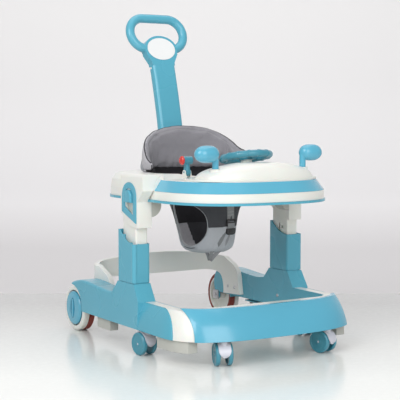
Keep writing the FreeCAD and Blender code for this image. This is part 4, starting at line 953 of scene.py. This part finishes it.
def back_path(steps):
    """The pad's middle line in plan, from the right wing round the back to the left, with its
    outward normals."""
    dense = 400
    start = math.asin(((BACK_END_Y - BACK_MID) / BACK_DEEP) ** (BACK_POWER / 2))
    line = [oval(BACK_HALF, BACK_DEEP, BACK_POWER, BACK_MID, 0,
                 start + (math.pi - 2 * start) * k / dense) for k in range(dense + 1)]
    line.reverse()
    gone = [0.0]
    for a, b in zip(line, line[1:]):
        gone.append(gone[-1] + (b - a).length)
    path, i = [], 0
    for k in range(steps + 1):
        target = gone[-1] * k / steps
        while i < dense - 1 and gone[i + 1] < target:
            i += 1
        p = line[i].lerp(line[i + 1], (target - gone[i]) / (gone[i + 1] - gone[i]))
        t = (line[min(i + 2, dense)] - line[max(i - 1, 0)]).normalized()
        n = Vector((-t.y, t.x, 0))
        path.append((p, n if n.dot(p - Vector((0, BACK_MID * MM, 0))) > 0 else -n))
    return path


def back_top(p, n):
    """Height of the pad's upper edge over a point of its path, read at its outer face."""
    x = (p + n * 0.009).x / MM
    return spline_at(BACK_EDGE, max(min(x, BACK_WIDEST), -BACK_WIDEST))[0]


def back_shell():
    """A closed pad along the path: a rounded slab in section, its ends closed and drawn in."""
    verts, faces = [], []
    for k, (p, n) in enumerate(back_path(PAD_STEPS)):
        pinch = min(1.0, 0.45 + min(k, PAD_STEPS - k) / PAD_STEPS * 18)
        top = back_top(p, n) - PAD_SHRINK - (1 - pinch) * 9
        bottom = BACK_LOW + PAD_SHRINK + (1 - pinch) * 9
        middle, half = (top + bottom) / 2, (top - bottom) / 2
        for m in range(PAD_AROUND):
            angle = 2 * math.pi * m / PAD_AROUND
            c, s = math.cos(angle), math.sin(angle)
            side = PAD_THICK / 2 * pinch * math.copysign(abs(c) ** 0.55, c)
            up = middle + half * math.copysign(abs(s) ** 0.34, s)
            verts.append(p + n * side * MM + Vector((0, 0, up * MM)))
    for k in range(PAD_STEPS):
        here, there = k * PAD_AROUND, (k + 1) * PAD_AROUND
        for m in range(PAD_AROUND):
            q = (m + 1) % PAD_AROUND
            faces.append((here + m, here + q, there + q, there + m))
    faces.append(tuple(range(PAD_AROUND)))
    faces.append(tuple(PAD_STEPS * PAD_AROUND + m for m in reversed(range(PAD_AROUND))))
    obj = new_object("backrest_pad", verts, faces, LOOKS["back_fabric"])
    mesh = bmesh.new()
    mesh.from_mesh(obj.data)
    bmesh.ops.recalc_face_normals(mesh, faces=mesh.faces)
    mesh.to_mesh(obj.data)
    mesh.free()
    return obj


def inflate(obj, voxel, pressure, cap):
    """Remeshes a closed form and fills it as cloth under pressure, no point moving more than
    cap."""
    remesh = obj.modifiers.new("remesh", "REMESH")
    remesh.mode = "VOXEL"
    remesh.voxel_size = voxel
    remesh.use_smooth_shade = True
    apply_modifiers(obj)
    start = [v.co.copy() for v in obj.data.vertices]
    cloth = obj.modifiers.new("cloth", "CLOTH")
    settings = cloth.settings
    settings.quality = 6
    settings.mass = 0.25
    settings.tension_stiffness = 12
    settings.compression_stiffness = 12
    settings.bending_stiffness = 0.4
    settings.use_pressure = True
    settings.uniform_pressure_force = pressure
    settings.effector_weights.gravity = 0.0
    cloth.collision_settings.use_collision = False
    for number in range(1, CLOTH_FRAMES + 1):
        scene.frame_set(number)
    graph = bpy.context.evaluated_depsgraph_get()
    moved = [v.co.copy() for v in obj.evaluated_get(graph).data.vertices]
    obj.modifiers.clear()
    scene.frame_set(1)
    for vertex, a, b in zip(obj.data.vertices, start, moved):
        step = b - a
        if step.length > cap:
            step *= cap / step.length
        vertex.co = a + step
    obj.data.update()


def subdivide(obj):
    modifier = obj.modifiers.new("subdivision", "SUBSURF")
    modifier.levels = modifier.render_levels = 1
    apply_modifiers(obj)
    shade_smooth(obj.data)


def press_lines(obj, lines, width, depth):
    """Sinks a stitched groove into the surface along each line."""
    spots = [p for line in lines for p in line]
    tree = KDTree(len(spots))
    for i, p in enumerate(spots):
        tree.insert(p, i)
    tree.balance()
    normals = [v.normal.copy() for v in obj.data.vertices]
    for vertex, normal in zip(obj.data.vertices, normals):
        _, _, distance = tree.find(vertex.co)
        if distance < width:
            sink = 0.5 + 0.5 * math.cos(math.pi * distance / width)
            vertex.co -= normal * depth * sink
    obj.data.update()


def crumple(obj):
    """Creases where the cloth gathers: upright at the right foot of the pad, slanting at its
    left shoulder."""
    shoulder = (Vector((0.152, 0.098, 0.548)), Vector((0.122, 0.128, 0.500)))
    normals = [v.normal.copy() for v in obj.data.vertices]
    for vertex, normal in zip(obj.data.vertices, normals):
        p = vertex.co / MM
        foot = min(max((545 - p.z) / 60, 0.0), 1.0)
        turn = math.atan2(p.x, p.y - BACK_MID)
        fold = math.sin(turn * 34 + 2.0 * noise.noise(Vector((turn * 3, p.z / 60, 1))))
        push = 1.1 * fold * foot * (0.35 + 0.65 * bell(turn + 0.75, 0.55))
        push += 2.0 * noise.noise(Vector((p.x / 55, p.y / 55, p.z / 42)))
        push += 0.6 * noise.noise(Vector((p.x / 17, p.y / 17, p.z / 15)))
        off = segment_distance(vertex.co, *shoulder)
        push += 2.2 * bell(off, 5) - 1.4 * bell(off - 9, 5)
        vertex.co += normal * push * MM
    obj.data.update()


def stay_within(obj):
    """Holds the pad inside its solid's room: over the ring, and clear of the handle's socket."""
    for vertex in obj.data.vertices:
        p = vertex.co
        p.z = min(max(p.z, BACK_LOW * MM), ROOM_TOP)
        p.x = min(max(p.x, -ROOM_X), ROOM_X)
        p.y = min(p.y, ROOM_BACK)
    obj.data.update()


def top_line(path, side, drop):
    """A line beside the path, a given depth below the pad's upper edge."""
    return [p + n * side * MM + Vector((0, 0, (back_top(p, n) - drop) * MM)) for p, n in path]


def upright_line(path_point, side, low, high):
    """Points every 3 mm up the pad beside one point of its path."""
    p, n = path_point
    return [p + n * side + Vector((0, 0, z * MM)) for z in range(low, high, 3)]


def snapped(obj, points, lift):
    """Points moved onto a mesh, or a little off it."""
    result = []
    for p in points:
        _, spot, normal, _ = obj.closest_point_on_mesh(p)
        result.append(spot + normal * lift * MM)
    return result


def paint_light_on_outer_side(obj):
    """The pad's outer side is of the paler cloth, up to just under its top: painted light where it
    faces the lamps.
    """
    obj.data.materials.append(PAINTED_LIGHT_CLOTH)
    for polygon in obj.data.polygons:
        c = polygon.center / MM
        out = polygon.normal.dot(Vector((c.x, c.y - BACK_MID, 0)).normalized())
        if out > -0.15 and c.z < 598:
            polygon.material_index = 1


def make_piping(obj, path):
    """Dark cords along the pad's upper edge and up the ends of its wings."""
    top = smooth_line(snapped(obj, top_line(path, 5.5, 3.5)[2:-2], 0.4))
    wings = []
    for k, side in ((0, "right"), (PATH_STEPS, "left")):
        end = int(back_top(*path[k]) - 3.5) - 3
        line = smooth_line(snapped(obj, upright_line(path[k], 0.007, 474, end), 0.4))
        wings.append(tube("backrest_piping_" + side, line, 0.0017, PIPING))
    return [tube("backrest_piping_top", top, 0.0019, PIPING)] + wings


def make_skirt():
    """The black lining under the pad, drawn in where the seat narrows."""
    rows = [(480.0, -1.0), (470.0, -1.5), (464.0, -2.5), (457.0, -13.0), (450.0, -25.0)]
    path = back_path(110)
    verts, faces = [], []
    for z, grow in rows:
        for k, (p, n) in enumerate(path):
            ripple = 0.8 * math.sin(k * 0.9) * MM if z < 465 else 0.0
            verts.append(p + n * (grow * MM + ripple) + Vector((0, 0, z * MM)))
    count = len(path)
    for r in range(len(rows) - 1):
        for k in range(r * count, (r + 1) * count - 1):
            faces.append((k, k + 1, k + count + 1, k + count))
    skirt = new_object("backrest_lining", verts, faces, BLACK_LINING_AND_SHADE)
    return add_thickness(skirt, 0.004, 0.0)


pad = back_shell()
inflate(pad, voxel=0.005, pressure=4.0, cap=0.005)
subdivide(pad)
path = back_path(PATH_STEPS)
seam = snapped(pad, top_line(path, SEAM_INSIDE, SEAM_DROP)[4:-4], 0)
wing_seams = [snapped(pad, upright_line(path[k], -0.012, 478, 560), 0) for k in WING_SEAMS]
press_lines(pad, [seam] + wing_seams, width=0.0055, depth=0.0016)
crumple(pad)
stay_within(pad)
shade_smooth(pad.data)
paint_light_on_outer_side(pad)
piping = make_piping(pad, path)
thread = tube("backrest_stitching", snapped(pad, seam, 0.1), 0.0005, PIPING_LIGHT, sides=6)
skirt = make_skirt()
deck_tie = hanging_strap("backrest_tie", [
    (-146, 108, 505), (-154, 101, 486), (-158, 88, 475), (-166, 64, 472), (-176, 34, 471.6),
    (-186, 4, 471.6), (-193, -24, 471.6)], (-0.3, 1.0, 0.2), 9)
for piece in [pad, skirt, thread, deck_tie] + piping:
    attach(piece, "upper")
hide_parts("seat_back")
